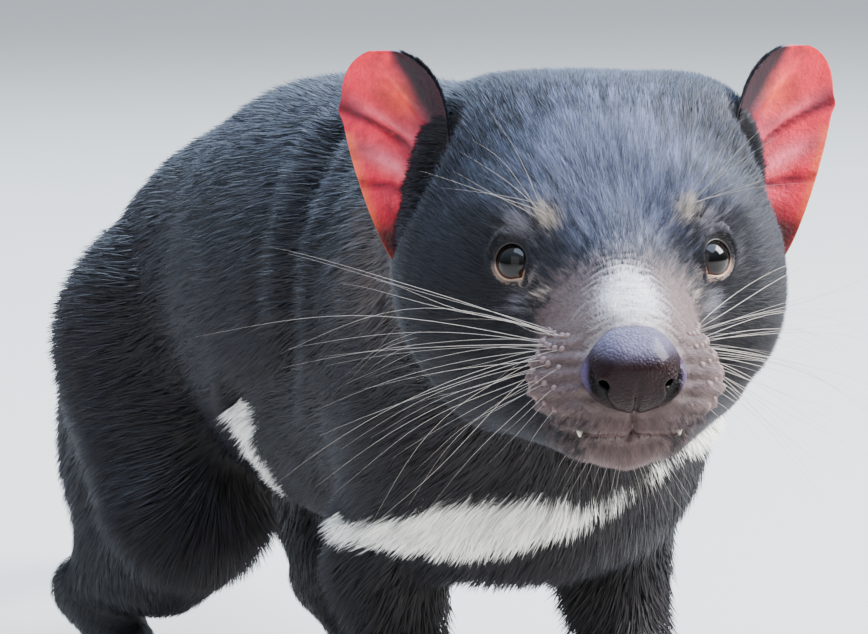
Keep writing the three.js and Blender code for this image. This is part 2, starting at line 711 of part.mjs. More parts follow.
function legSurface({ y, z }, side) {
  const [inner, outer] = side > 0 ? [LEG_INNER, LEG_OUTER] : [-LEG_OUTER, -LEG_INNER];
  return surface(animal, [inner, y[0], z[0]], [outer, y[1], z[1]], CELL.leg);
}

function makeLegs() {
  for (const [name, side] of Object.entries(SIDES)) {
    const fore = legSurface(FORELEG_REACH, side);
    const step = FORE_STEP[name];
    addNode(`upper_arm_${name}`, fore.intersect(legSeam(FORE_SEAM, side, step, -GAP / 2)), COLOURS.coat);
    const below = block([-200, -200, FOREFOOT.cut + GAP / 2], [200, 200, TRUNK_FLOOR - GAP]);
    const forearm = fore.intersect(below).subtract(legSeam(FORE_SEAM, side, step, GAP / 2));
    addNode(`forearm_${name}`, forearm, COLOURS.coat);
    const hind = legSurface(HINDLEG_REACH, side);
    const thigh = hind.intersect(legSeam(HIND_SEAM, side, HIND_STEP[name], -GAP / 2));
    addNode(`thigh_${name}`, thigh.subtract(hindfootRegion(name, GAP / 2)), COLOURS.coat);
  }
}

function makeTail() {
  const whole = surface(animal, ...TAIL_BOX, CELL.tail);
  let tail = part(whole, TAIL_PLANE)[1];
  for (const [name, side] of Object.entries(SIDES)) {
    tail = tail.subtract(legSeam(HIND_SEAM, side, HIND_STEP[name], GAP / 2));
  }
  const [root, tip] = part(keepLargest(tail), TAIL_MIDDLE);
  addNode('tail_root', root, COLOURS.coat);
  addNode('tail_tip', tip, COLOURS.coat);
}

// Toes fan from the palm, the middle ones longest, each with a long claw.
function foot(name, { toes, spread, length, palm, cut, reach }, [px, py], cell, region) {
  const centre = [px, py, palm[2] - SOLE_SINK];
  const masses = [[animal, 1], [ellipsoid(centre, palm), FACE_VALLEY]];
  const claws = [];
  for (let i = 0; i < toes; i++) {
    const angle = (i - (toes - 1) / 2) * spread;
    const ahead = new THREE.Vector3(Math.sin(angle), -Math.cos(angle), 0);
    const long = length * (0.82 + 0.18 * Math.cos(angle * 1.6));
    const from = new THREE.Vector3(px, py, TOE.height + TOE.arch).addScaledVector(ahead, TOE.root);
    const to = new THREE.Vector3(px, py, TOE.height).addScaledVector(ahead, TOE.root + long);
    masses.push([limb(from.toArray(), TOE.radius, to.toArray(), TOE.tip), TOE.web]);
    claws.push(spine(t => ({
      at: to.clone().addScaledVector(ahead, CLAW.length * t)
        .add(new THREE.Vector3(0, 0, CLAW.lift + CLAW.rise * t - CLAW.drop * t * t)),
      radius: CLAW.radius * (1 - CLAW.taper * t),
    }), 3, 5));
  }
  const box = [[px - FOOT_HALF_WIDTH, py - FOOT_AHEAD, -6], [px + FOOT_HALF_WIDTH, py + reach, cut + 8]];
  let shape = surface(melt(masses), ...box, cell);
  for (const claw of claws) shape = shape.add(claw);
  shape = shape.subtract(block(UNDERGROUND[0], UNDERGROUND[1]));
  addNode(name, shape.intersect(region), COLOURS.paw);
}

function makeFeet() {
  for (const [name, side] of Object.entries(SIDES)) {
    const underWrist = block([-200, -200, -50], [200, 200, FOREFOOT.cut - GAP / 2]);
    foot(`forefoot_${name}`, FOREFOOT, foreJoints(side, name).palm, CELL.forefoot, underWrist);
    const shank = hindfootRegion(name, -GAP / 2);
    foot(`hindfoot_${name}`, HINDFOOT, hindJoints(side, name).palm, CELL.hindfoot, shank);
  }
}

makeHead();
makeTrunk();
makeLegs();
makeTail();
makeFeet();

const reach = new THREE.Box3().setFromObject(model);
const middle = reach.getCenter(new THREE.Vector3());
model.position.set(-middle.x, -middle.y, -reach.min.z);

export default model;
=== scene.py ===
"""A Tasmanian devil at life size, standing with its head turned to its right.

The skin is one surface worked out from the same masses as the CAD solids, sunk below them by the
coat's depth. The coat is many flat tapering hairs laid over it. Lengths are millimetres in the
functions and metres in the finished meshes. "Body" places (b) are given from the middle of the
forefeet, "head" places (h) from the midpoint of the eyes with the head level and straight: x to
its left, y back and z up.
"""

import math

import bpy
import numpy as np
from bpy.props import FloatProperty, FloatVectorProperty, IntProperty, PointerProperty
from mathutils import Matrix, Vector


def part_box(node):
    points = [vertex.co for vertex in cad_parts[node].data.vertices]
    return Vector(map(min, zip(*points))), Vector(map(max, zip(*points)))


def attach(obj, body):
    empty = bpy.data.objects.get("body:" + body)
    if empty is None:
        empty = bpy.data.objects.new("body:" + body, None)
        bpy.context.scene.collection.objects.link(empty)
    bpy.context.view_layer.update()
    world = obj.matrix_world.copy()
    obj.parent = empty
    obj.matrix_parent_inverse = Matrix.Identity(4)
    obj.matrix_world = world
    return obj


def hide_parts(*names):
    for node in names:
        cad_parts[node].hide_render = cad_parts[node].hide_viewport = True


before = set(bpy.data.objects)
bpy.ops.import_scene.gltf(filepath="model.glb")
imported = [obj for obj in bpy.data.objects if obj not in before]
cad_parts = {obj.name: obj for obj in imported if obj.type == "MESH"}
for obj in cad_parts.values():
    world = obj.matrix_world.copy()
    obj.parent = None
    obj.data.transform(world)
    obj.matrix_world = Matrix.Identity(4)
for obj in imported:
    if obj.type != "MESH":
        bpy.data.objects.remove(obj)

bl_info = {
    "name": "Tasmanian devil",
    "version": (1, 0, 0),
    "blender": (4, 5, 0),
    "location": "3D View > Sidebar > Devil",
    "description": "Builds the skin, coat, face and feet of a life-size Tasmanian devil",
    "category": "Add Mesh",
}

MM = 0.001
UV_PATCH = 0.003
TAU = 2 * math.pi
SIDES = (1, -1)
NAMED_SIDES = (("left", 1), ("right", -1))

# Head frame: where the midpoint of the eyes is in the body, and how the head is turned and nodded.
EYE_MIDPOINT = (-36.0, -130.0, 238.0)
HEAD_TURN = -21.0
HEAD_NOD = 5.0

# Masses of the trunk, as in the solids.
RIB_CAGE = ((0, 60, 190), (62, 116, 86))
LOIN = ((0, 152, 186), (65, 112, 86))
PELVIS = ((0, 250, 166), (60, 68, 74))
BREAST = ((0, -14, 180), (47, 52, 68))
NECK = ((0, 10, 210), 59, (-24, -74, 230), 56)
SHOULDER_BLADE = ((29, 8, 176), (25, 46, 62))
HAUNCH = ((43, 259, 116), (30, 74, 74))
TAIL_POINTS = ((0, 284, 184), (7, 342, 160), (24, 404, 122), (48, 458, 84), (74, 504, 56))
TAIL_RADII = (30, 25, 21, 16, 9)
TRUNK_VALLEY, HAUNCH_VALLEY, LIMB_VALLEY, TAIL_VALLEY = 36, 24, 18, 30

# Joints of the legs with their radii. A leg has its step ahead or back on each side, the share
# of the step that each joint takes, and its foot.
SHOULDER = ((34, -12, 164), 26)
ELBOW = ((40, 24, 114), 20)
WRIST = ((38, 2, 34), 13.5)
HIP = ((36, 254, 156), 44)
KNEE = ((47, 198, 96), 28)
SHANK_TOP_RADIUS = 24
HOCK = ((49, 304, 42), 14.5)
HIND_BALL = ((48, 244, 16), 13)
PALM_HEIGHT, PALM_ROOT_RADIUS, SOLE_SINK = 12, 13, 1.6
FOREFOOT = {"toes": 5, "spread": 27, "length": 22, "palm": (17, 17, 11), "ahead": 12}
HINDFOOT = {"toes": 4, "spread": 15, "length": 24, "palm": (16, 18, 12), "ahead": 6}
FORE_LEG = ({1: -15, -1: 12}, ((SHOULDER, 0.2), (ELBOW, 0.6), (WRIST, 1)), FOREFOOT)
HIND_LEG = ({1: -16, -1: 12}, ((HIP, 0.1), (KNEE, 0.5), (HOCK, 1), (HIND_BALL, 1)), HINDFOOT)
TOE = {"radius": 6.4, "tip": 5.3, "height": 5, "arch": 3.5, "root": 7, "web": 4}
CLAW = {"length": 15, "radius": 2.35, "lift": 1.7, "rise": 2.5, "drop": 7.4, "taper": 0.9, "sunk": 3}

# Masses of the head, as in the solids.
CRANIUM = ((0, 50, 2), (56, 62, 48))
TEMPLE = ((32, 62, 19), (27, 36, 27.5))
CHEEK = ((30, 36, -20), (32, 42, 37))
BROW = ((25, 10, 13), (16, 16, 9))
MUZZLE = ((0, 8, -16), 31, (0, -34, -24), 23)
NOSE_BRIDGE = ((0, 0, 4), 15, (0, -48, -13), 10)
WHISKER_PAD = ((14, -38, -31), (17, 19, 14))
UPPER_LIP = ((9, -50, -37), (11, 9, 7.5))
CHIN = ((0, 14, -50), 22, (0, -36, -49), 11)
JAW_SIDE = ((30, 32, -46), 19, (12, -30, -47), 11)
THROAT = ((0, 52, -34), (46, 48, 34))
EAR_ROOT = ((51, 82, 8), (15, 16, 25))
HEAD_VALLEY, FACE_VALLEY, LIP_VALLEY, NOSE_VALLEY = 16, 9, 3.5, 5
NOSE_PAD = ((0, -58, -22), (15.5, 10.5, 14))
NOSE_WING = ((10.5, -57, -27), (5.8, 8, 7.5))
# Planes that bevel the nose: direction on the mirrored head, distance from the pad's middle and
# rounding. They give the flat top, the sloping sides and the narrow foot.
NOSE_PLANES = (
    ((0, -0.6, 0.8), 11.6, 4),
    ((0.76, -0.4, 0.51), 13.4, 4),
    ((0.64, 0, -0.77), 15.2, 5),
)
NOSTRIL = ((11.6, -71, -27.8), 1.9, (8.5, -58, -22), 1.5)
NOSTRIL_SLIT = (
    ((14.6, -59.6, -19.5), 0.8, (14.4, -62.4, -23.5), 1.5),
    ((14.4, -62.4, -23.5), 1.5, (11.8, -65.2, -28), 2.2),
    ((11.8, -65.2, -28), 2.2, (8.2, -63.2, -32), 0.9),
)
# The left eye's middle, and the gaze in degrees outwards and up.
EYE_AT = (29.6, -0.6, -1.0)
GAZE_OUT, GAZE_UP = 30.0, 6.0
# Line of the mouth, back and up, and where it ends.
MOUTH_LINE = ((-80, -43.5), (-46, -43), (-22, -38), (4, -34))
MOUTH_CORNER_Y = 6.0
CANINE = ((15, -47, -38), (15.6, -49.8, -45.6), 1.75)
# Place in the nose from which the hair of the head runs back.
HAIR_CENTRE = (0, -52, -14)
EAR = {
    "foot": (59, 56, -15), "height": 73, "lean": 7, "half_width": 23, "face_out": 24,
    "swell": 0.42, "tip_round": 5, "cup": 15, "cup_at_foot": 1.25, "cup_loss": 0.75, "rim": 0.9,
}
# Columns of points across each face of the ear.
EAR_COLUMNS = 40
# Hollow of the ear in its own directions up, ahead and outwards: middle and radii.
EAR_HOLLOW = ((33, 9, -6), (27, 14, 17))
# Ridges and creases inside the ear: height in mm, place across and up, tilt, width and reach
# across. Those without a reach run to the outer edge. The last one is the canal.
EAR_FOLDS = (
    (2.0, (0, 0.60), 0.20, 0.035, None), (-2.6, (0, 0.52), 0.20, 0.022, None),
    (2.6, (0.4, 0.46), 0.14, 0.05, 0.8), (-1.8, (0, 0.31), 0.06, 0.02, None),
    (2.6, (0.4, 0.25), 0.05, 0.05, 0.6), (1.6, (-0.1, 0.78), 0.3, 0.05, 0.5),
    (-1.2, (-0.1, 0.69), 0.3, 0.025, 0.5), (-6.0, (-0.5, 0.42), 0, 0.08, 0.32),
)

# White chest band: places on the body's right side, and half its width at each.
BAND = (
    ((-63, 40, 122), 1.6), ((-62, 17, 121), 4.5), ((-56, 1, 120), 8.5), ((-50, -14, 123), 11.5),
    ((-43, -27, 126), 13), ((-34, -37, 129), 13), ((-25, -46, 131), 11.5),
    ((-18, -51, 132), 8), ((-9, -53, 132), 4.0), ((1, -58, 135), 2.4), ((15, -61, 143), 1.9),
    ((28, -59, 151), 1.8), ((38, -54, 156), 1.9), ((51, -34, 160), 1.9), ((58, -16, 157), 0.6),
)
FLANK_BAND = (
    ((-62, 115, 151), 3), ((-60, 122, 146), 6.5), ((-55, 131, 137), 8.5),
    ((-48, 140, 125), 9.5), ((-34, 158, 110), 8), ((-20, 174, 102), 4),
)
# How far below or above the skin the middle lines of the bands may lie.
BAND_SINK = 5.6
# Folds of skin where the neck is turned, on the body's right side.
NECK_FOLD = (
    (-40, 72, 258), (-58, 62, 240), (-64, 56, 219), (-67, 50, 195), (-66, 62, 176),
    (-64, 86, 164), (-62, 110, 156),
)
# Tan spot over each eye, in the body.
BROW_SPOTS = ((-60.9, -131.7, 254.2), (-17.2, -147.4, 255.6))
# Places on the mirrored head, across and up: dark patch at the eye's inner corner, pale spot below
# it, and paler hair over and under the eye.
DARK_SPOT, TEAR_SPOT = (19.5, 6.0), (23.5, -8.5)
OVER_EYE, UNDER_EYE = (31.0, 13.0), (32.0, -13.0)

# Middle of the whisker pad's fan on the mirrored head, and how far off the aiming points are.
PAD_MIDDLE, PAD_REACH = (12, -30, -25), 40
# The left whiskers are a little shorter than the right ones.
WHISKER_SHARE = {1: 0.93, -1: 1.0}
# Other whiskers: count, first root and step, first way and step, least and most length, droop.
# The brow's roots are spread round its tan spot by up to BROW_SPREAD.
BROW_SPREAD = 2.5
BROW_WHISKERS = (6, None, None, (0.35, -0.30, 0.8), (0.13, 0, -0.09), 30, 54, 0.10)
CHEEK_WHISKERS = (4, (55, 24, -28), (0, 4, -3), (0.9, -0.1, -0.2), (0, 0, 0), 20, 34, 0.3)
CHIN_WHISKERS = (9, (2, -44, -58), (1.6, 3, 0), (0.25, -0.4, -0.9), (0.06, 0, 0), 9, 24, 0.15)

# The photo's frame and the place of the midpoint of the eyes in it, in pixels.
PHOTO_SIZE, PHOTO_EYES = (868, 634), (612, 257)
FILM_WIDTH = 36
FLOOR_HALF_SIZE = 6.0
# Area lights: place, size, watts and linear colour. Cool ones stand for the sky.
LIGHTS = (
    ("sky_behind", (0.5, 1.4, 2.0), 2.6, 165, (0.62, 0.78, 1.0)),
    ("sky_above", (0.4, -0.8, 2.4), 2.4, 120, (0.62, 0.77, 1.0)),
    ("side_right", (1.7, -1.1, 1.7), 1.4, 225, (1.0, 0.98, 0.96)),
    ("soft_front", (-1.5, -1.8, 0.9), 1.8, 9, (1.0, 0.97, 0.94)),
)
SKY_LOW, SKY_HIGH = (0.23, 0.22, 0.21, 1), (0.9, 1.1, 1.4, 1)


def hex_rgb(value):
    """Linear colour from an sRGB hex number: each channel c becomes c/12.92 when dark,
    else ((c + 0.055) / 1.055) to the power 2.4."""
    channels = [((value >> shift) & 255) / 255 for shift in (16, 8, 0)]
    return tuple(c / 12.92 if c <= 0.04045 else ((c + 0.055) / 1.055) ** 2.4 for c in channels)


# Tones that no user would change: painted shade in folds, over the lids and in openings, tones of the
# eye, painted light on the nose, and the ear's own tones and painted light.
LID_SHADE, FOLD_SHADE, MOUTH_SHADE = hex_rgb(0x0D0A0A), hex_rgb(0x121010), hex_rgb(0x1D1212)
CUP_TOP, CUP_LOBE = hex_rgb(0x191416), hex_rgb(0x422229)
# Painted reflection on the nose's top, painted glint on its sides and painted shade in the nostrils.
NOSE_TOP_REFLECTION, NOSE_SIDE_GLINT, NOSTRIL_SHADE = hex_rgb(0x6F6981), hex_rgb(0x7C6C95), hex_rgb(0x0A0505)
LID_RIM_TOP, EYE_WHITE = hex_rgb(0x271D19), hex_rgb(0x1D1612)
IRIS_RING, PUPIL = hex_rgb(0x19120D), hex_rgb(0x0A0707)
# Painted glow through the ear's thin outer edge, and painted shade in its creases and canal.
EAR_EDGE_GLOW, EAR_CREASE_SHADE, EAR_CANAL_SHADE = hex_rgb(0xFF7C3F), hex_rgb(0x591927), hex_rgb(0x3F1D22)
EAR_FOOT, EAR_INNER = hex_rgb(0x452722), hex_rgb(0x81354B)
BLUE_SHEEN, ENAMEL = hex_rgb(0xCEDFFF), hex_rgb(0xD9CDB4)
# Painted glow of light through the ear, high up and on its lobe and ridge: tone, strength and the
# mark's place and form.
EAR_PAINTED_GLOWS = (
    (hex_rgb(0xFF6F3F), 0.6, ((-0.1, 0.76), 0, 0.1, 0.45)),
    (hex_rgb(0xFF8695), 0.7, ((0.4, 0.45), 0.14, 0.06, 0.6)),
    (hex_rgb(0xF38195), 0.5, ((0.2, 0.62), 0.2, 0.04, 0.6)),
)
EAR_TUCK = (hex_rgb(0x6F3045), 0.8, ((0.85, 0.71), 0.2, 0.05, 0.3))


# User settings
def colour_property(name, value, about):
    return FloatVectorProperty(
        name=name, description=about, subtype="COLOR", size=3, min=0, max=1, default=hex_rgb(value)
    )


def length_property(name, millimetres, about):
    return FloatProperty(
        name=name, description=about, unit="LENGTH", min=0, default=millimetres * MM, precision=5
    )


class DevilCoatSettings(bpy.types.PropertyGroup):
    """Sizes and colours of the coat."""

    body_depth: length_property("Body depth", 5.5, "How far the body's coat stands off the skin")
    face_depth: length_property("Face depth", 1.6, "How far the face's coat stands off the skin")
    hairs: IntProperty(
        name="Hairs a piece", description="Hairs in each piece of the coat", default=95000, min=100
    )
    black: colour_property("Black", 0x131216, "Guard hairs of the back and head")
    brown: colour_property("Brown", 0x1B1312, "Cheeks, belly and legs")
    silver_tips_and_sheen: colour_property("Silver", 0x8E99B6, "Pale tips on the crown and back")
    # Pale hair tips, and painted sheen of the sky on hairs that face up.
    neck: colour_property("Neck", 0x453B38, "Thinner neck hair behind the ears")
    # Grey for the paler hair round the eyes, and painted sheen of the sky on the forehead and crown.
    grey_and_sheen: colour_property("Grey", 0x62677E, "Forehead and crown")
    white: colour_property("White", 0xF2EFE8, "Chest band")
    tan: colour_property("Tan", 0xC6B7A6, "Spots over the eyes")


class DevilFaceSettings(bpy.types.PropertyGroup):
    """Sizes and colours of the face."""

    eye_radius: length_property("Eye radius", 8.1, "Radius of each eyeball")
    lid_half_width: length_property("Lid half width", 8.4, "Half the opening between the lids")
    whisker_width: length_property("Whisker width", 0.21, "Thickness of a whisker at its root")
    muzzle: colour_property("Muzzle", 0x6F5B58, "Thin-haired skin of the muzzle")
    bridge: colour_property("Bridge", 0xF2ECEE, "Wrinkled skin over the nose")
    lip: colour_property("Lip", 0x7E5650, "Edges of the lips")
    lid: colour_property("Lid", 0xAA8A74, "Rims of the lids")
    nose: colour_property("Nose", 0x1D0E10, "Bare wet nose")
    iris: colour_property("Iris", 0x40261A, "Iris")
    ear: colour_property("Ear", 0xF02846, "Bare skin inside the ears")
    whisker: colour_property("Whisker", 0xB5AA9F, "Whiskers")
    claw: colour_property("Claw", 0x5A4C44, "Claws")


class DevilStageSettings(bpy.types.PropertyGroup):
    """Camera and light."""

    azimuth: FloatProperty(name="Azimuth", description="Camera's way round", default=-28.0)
    elevation: FloatProperty(name="Elevation", description="Camera's height angle", default=8.0)
    distance: length_property("Distance", 1300.0, "Camera to the midpoint of the eyes")
    lens: FloatProperty(name="Lens", description="Focal length, 36 mm wide film", default=168.5)
    floor: colour_property("Floor", 0xC3BDB4, "Plain floor")


# Small arithmetic
def blend(a, b, t):
    """a to b as t goes from 0 to 1, by t t (3 - 2 t), and level outside."""
    t = np.clip(t, 0, 1)
    return a + (b - a) * t * t * (3 - 2 * t)


def rise(x, start, span):
    """0 up to start and 1 from start + span on, smooth between."""
    return blend(0, 1, (x - start) / span)


def fall(x, start, span):
    """1 up to start and 0 from start + span on, smooth between."""
    return blend(1, 0, (x - start) / span)


def bell(*offsets):
    """e to the power of minus the sum of the offsets' squares: 1 at the middle."""
    return np.exp(-sum(x**2 for x in offsets))


def mix(a, b, t):
    """a (1 - t) + b t for colours or directions, t one value a place."""
    t = np.clip(t, 0, 1)[..., None]
    return np.asarray(a) * (1 - t) + np.asarray(b) * t


def unit(v):
    """v over its own length."""
    return v / np.maximum(np.linalg.norm(v, axis=-1, keepdims=True), 1e-9)


def level_with(v, normal):
    """Unit direction of v's part along a surface."""
    return unit(v - (v * normal).sum(-1, keepdims=True) * normal)


def flip(p, side):
    """Place on the left as it is, or brought over to the right side."""
    return np.array((side * p[0], p[1], p[2]), float)


def mirror(h):
    """Places of the head's right half brought over to its left half."""
    return np.stack([np.abs(h[..., 0]), h[..., 1], h[..., 2]], -1)


def parts_of(p):
    """x, y and z of places."""
    return p[..., 0], p[..., 1], p[..., 2]


def soft_noise(p, size):
    """Smooth uneven value from about -1 to 1: sines of three skew directions of a given size."""
    x, y, z = parts_of(np.asarray(p, float) * (TAU / size))
    a = np.sin(x * 0.83 + 1.7 * np.sin(y * 0.61 + 0.4))
    b = np.sin(y * 0.91 + 1.3 * np.sin(z * 0.73 + 2.1))
    return (a + b + np.sin(z * 0.79 + 1.5 * np.sin(x * 0.57 + 1.2))) / 3


# Frames of reference
def turn(axis, angle):
    """Rotation about an axis by degrees."""
    return np.array(Matrix.Rotation(math.radians(angle), 3, axis))


HEAD_TURNED = turn("Z", HEAD_TURN) @ turn("X", HEAD_NOD)


def to_body(p):
    """Head place to body place: turned and nodded, then moved to the eyes' midpoint."""
    return np.asarray(p, float) @ HEAD_TURNED.T + np.array(EYE_MIDPOINT)


def to_head(p):
    """Body place to head place, the other way round."""
    return (np.asarray(p) - np.array(EYE_MIDPOINT, np.float32)) @ HEAD_TURNED.astype(np.float32)


def box_middle(node):
    """Middle of a CAD node's box, in millimetres."""
    lo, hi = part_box(node)
    return np.array((lo + hi) / 2) / MM


BODY_ORIGIN = (box_middle("eye_left") + box_middle("eye_right")) / 2 - to_body((0, *EYE_AT[1:]))


def to_frame(p):
    """Body place in millimetres to the row frame in metres."""
    return (np.asarray(p) + BODY_ORIGIN) * MM


# Distance fields
def ellipsoid(p, at, radii):
    """Near-distance to an ellipsoid: k(k - 1)/m, k the scaled reach and m its slope."""
    q = (p - np.array(at, np.float32)) / np.array(radii, np.float32)
    reach = np.sqrt((q * q).sum(-1))
    m = q / np.array(radii, np.float32)
    return reach * (reach - 1) / np.maximum(np.sqrt((m * m).sum(-1)), 1e-6)


def limb(p, a, ra, b, rb):
    """Distance to the hull of two balls: the ball's own where p is past an end, else the cone's."""
    a, b = np.array(a, np.float32), np.array(b, np.float32)
    way = b - a
    long = float(way @ way)
    taper = ra - rb
    flank = long - taper * taper
    q = p - a
    along = q @ way
    past = along - long
    off = ((q * long - way * along[..., None]) ** 2).sum(-1)
    side = np.sign(taper) * taper * taper * off
    cone = (np.sqrt(off * flank / long) + along * taper) / long - ra
    far = np.sqrt(off + past * past * long) / long - rb
    near = np.sqrt(off + along * along * long) / long - ra
    at_far = np.sign(past) * flank * past * past * long > side
    at_near = np.sign(along) * flank * along * along * long < side
    return np.where(at_far, far, np.where(at_near, near, cone))


def melt(d, e, valley):
    """Smooth least of two distances, the valley between them filled over its width."""
    h = np.maximum(valley - np.abs(d - e), 0) / valley
    return np.minimum(d, e) - h * h * valley / 4


def melt_pairs(d, p, masses):
    """Ellipsoids on both sides melted into a distance, each with its own valley."""
    for s in SIDES:
        for (at, radii), valley in masses:
            d = melt(d, ellipsoid(p, flip(at, s), radii), valley)
    return d


def head_masses(p):
    """Skull, cheeks, muzzle, brows, lips and jaw melted together, for head places."""
    d = melt(ellipsoid(p, *CRANIUM), ellipsoid(p, *THROAT), HEAD_VALLEY)
    d = melt_pairs(d, p, ((CHEEK, HEAD_VALLEY), (TEMPLE, HEAD_VALLEY), (EAR_ROOT, FACE_VALLEY)))
    d = melt(d, limb(p, *MUZZLE), HEAD_VALLEY)
    d = melt(d, limb(p, *NOSE_BRIDGE), FACE_VALLEY)
    d = melt_pairs(d, p, ((BROW, HEAD_VALLEY), (WHISKER_PAD, FACE_VALLEY), (UPPER_LIP, FACE_VALLEY)))
    jaw = limb(p, *CHIN)
    for s in SIDES:
        a, ra, b, rb = JAW_SIDE
        jaw = melt(jaw, limb(p, flip(a, s), ra, flip(b, s), rb), FACE_VALLEY)
    return melt(d, jaw, LIP_VALLEY)


def nose_masses(p):
    """Pad of the nose melted with its two wings."""
    return melt_pairs(ellipsoid(p, *NOSE_PAD), p, ((NOSE_WING, NOSE_VALLEY),))


def nose_solid(m):
    """Pad and wings cut by slanting planes, for mirrored places."""
    d = nose_masses(m)
    for normal, reach, rounding in NOSE_PLANES:
        d = -melt(-d, reach - (m - np.array(NOSE_PAD[0])) @ np.array(normal), rounding)
    return d


def nose_field(p):
    """The nose less its comma-shaped nostrils and a shallow cleft below."""
    m = mirror(p)
    hole = limb(m, *NOSTRIL)
    for part in NOSTRIL_SLIT:
        hole = melt(hole, limb(m, *part), 1.2)
    d = -melt(-nose_solid(m), hole, 1.4)
    x, y, z = parts_of(p)
    return d + 1.1 * bell(x / 0.9) * rise(-z, 22, 8) * (y < -55)


def tail_line(t):
    """Catmull-Rom curve through the tail's points, t from 0 to 1, and the radius at t."""
    points = np.array(TAIL_POINTS, float)
    points = np.vstack([2 * points[0] - points[1], points, 2 * points[-1] - points[-2]])
    last = len(TAIL_POINTS) - 1
    s = np.clip(t, 0, 1) * last
    i = np.minimum(s.astype(int), last - 1)
    f = (s - i)[:, None]
    a, b, c, d = (points[i + k] for k in range(4))
    place = 0.5 * (
        2 * b + (c - a) * f + (2 * a - 5 * b + 4 * c - d) * f**2 + (3 * b - a - 3 * c + d) * f**3
    )
    return place, np.interp(s, np.arange(last + 1), TAIL_RADII)


def tail_masses(p, count=12):
    """Tapering limbs along the tail's line, melted end to end."""
    places, radii = tail_line(np.linspace(0, 1, count + 1))
    d = limb(p, places[0], radii[0], places[1], radii[1])
    for k in range(1, count):
        d = melt(d, limb(p, places[k], radii[k], places[k + 1], radii[k + 1]), 1)
    return d


def leg_joints(s, leg):
    """Places of a leg's joints, each moved by its share of the step, and its palm's middle."""
    steps, joints, foot = leg
    places = [flip(at, s) + (0, steps[s] * share, 0) for (at, _), share in joints]
    x, y, _ = places[-1]
    return *places, np.array((x, y - foot["ahead"], PALM_HEIGHT))


def body_masses(p):
    """Trunk, neck, legs and tail melted together, for body places."""
    d = ellipsoid(p, *RIB_CAGE)
    for mass in (LOIN, PELVIS, BREAST):
        d = melt(d, ellipsoid(p, *mass), TRUNK_VALLEY)
    d = melt(d, limb(p, *NECK), TRUNK_VALLEY)
    for s in SIDES:
        shoulder, elbow, wrist, palm = leg_joints(s, FORE_LEG)
        hip, knee, hock, ball, _ = leg_joints(s, HIND_LEG)
        d = melt(d, ellipsoid(p, flip(SHOULDER_BLADE[0], s), SHOULDER_BLADE[1]), TRUNK_VALLEY)
        d = melt(d, ellipsoid(p, flip(HAUNCH[0], s), HAUNCH[1]), HAUNCH_VALLEY)
        for a, ra, b, rb, valley in (
            (shoulder, SHOULDER[1], elbow, ELBOW[1], LIMB_VALLEY),
            (elbow, ELBOW[1], wrist, WRIST[1], LIMB_VALLEY),
            (wrist, WRIST[1], palm, PALM_ROOT_RADIUS, FACE_VALLEY),
            (hip, HIP[1], knee, KNEE[1], LIMB_VALLEY),
            (knee, SHANK_TOP_RADIUS, hock, HOCK[1], LIMB_VALLEY),
            (hock, HOCK[1], ball, HIND_BALL[1], FACE_VALLEY),
        ):
            d = melt(d, limb(p, a, ra, b, rb), valley)
    return melt(d, tail_masses(p), TAIL_VALLEY)


def feet():
    """Palm, foot, and root, tip and heading of each toe. They fan from the palm, the middle ones
    longest."""
    for s in SIDES:
        for leg in (FORE_LEG, HIND_LEG):
            palm, foot = leg_joints(s, leg)[-1], leg[-1]
            toes = []
            for i in range(foot["toes"]):
                angle = math.radians((i - (foot["toes"] - 1) / 2) * foot["spread"])
                ahead = np.array((math.sin(angle), -math.cos(angle), 0))
                long = foot["length"] * (0.82 + 0.18 * math.cos(angle * 1.6))
                floor = np.array((palm[0], palm[1], TOE["height"]))
                root = floor + (0, 0, TOE["arch"]) + TOE["root"] * ahead
                toes.append((root, floor + (TOE["root"] + long) * ahead, ahead))
            yield palm, foot, toes


def foot_masses(p, d):
    """Palms and toes melted into the distance d to the legs."""
    for palm, foot, toes in feet():
        middle = (palm[0], palm[1], foot["palm"][2] - SOLE_SINK)
        d = melt(d, ellipsoid(p, middle, foot["palm"]), FACE_VALLEY)
        for root, tip, _ in toes:
            d = melt(d, limb(p, root, TOE["radius"], tip, TOE["tip"]), TOE["web"])
    return d


def outline(h):
    """Distance to the outside of the coat, for head places."""
    b = (h @ HEAD_TURNED.T.astype(np.float32)) + np.array(EYE_MIDPOINT, np.float32)
    d = body_masses(b)
    low = b[..., 2] < 60
    if low.any():
        d[low] = foot_masses(b[low], d[low])
    near = (h[..., 2] > -130) & (h[..., 1] < 170)
    if near.any():
        d[near] = melt(d[near], head_masses(h[near]), HEAD_VALLEY)
    return d


def line_distance(p, line):
    """Least distance to a chain of points and the share of the chain's count at the nearest."""
    line = np.array(line, float)
    best, share = np.full(p.shape[:-1], 1e9), np.zeros(p.shape[:-1])
    for k in range(len(line) - 1):
        a, w = line[k], line[k + 1] - line[k]
        t = np.clip(((p - a) @ w) / (w @ w), 0, 1)
        d = np.linalg.norm(p - a - t[..., None] * w, axis=-1)
        closer = d < best
        best, share = np.where(closer, d, best), np.where(closer, k + t, share)
    return best, share


def mouth_distance(m):
    """Distance to the line of the mouth, seen from the side."""
    return line_distance(m[..., 1:], MOUTH_LINE)[0]


def face_share(h):
    """1 on the thin-haired muzzle, 0 from behind the eyes back, by the distance from the nose."""
    reach = np.linalg.norm((h - (0, -44, -24)) / (1.0, 1.0, 0.9), axis=-1)
    return 1 - rise(reach, 22, 30)


def coat_depth(h, coat):
    """How far below the coat's outline the skin is: least on muzzle, feet and lids."""
    _, back, height = parts_of(to_body(h))
    body, face = coat.body_depth / MM, coat.face_depth / MM
    depth = blend(face, 3.2, (np.linalg.norm(h - (0, -20, -10), axis=-1) - 32) / 45)
    depth = blend(depth, body, (back + 90) / 60)
    depth = depth * (1 - 0.55 * face_share(h))
    depth = np.minimum(depth, 1.0 + (body - 1.0) * rise(height, 26, 90))
    return depth * (1 - 0.5 * np.clip((back - 330) / 170, 0, 1))


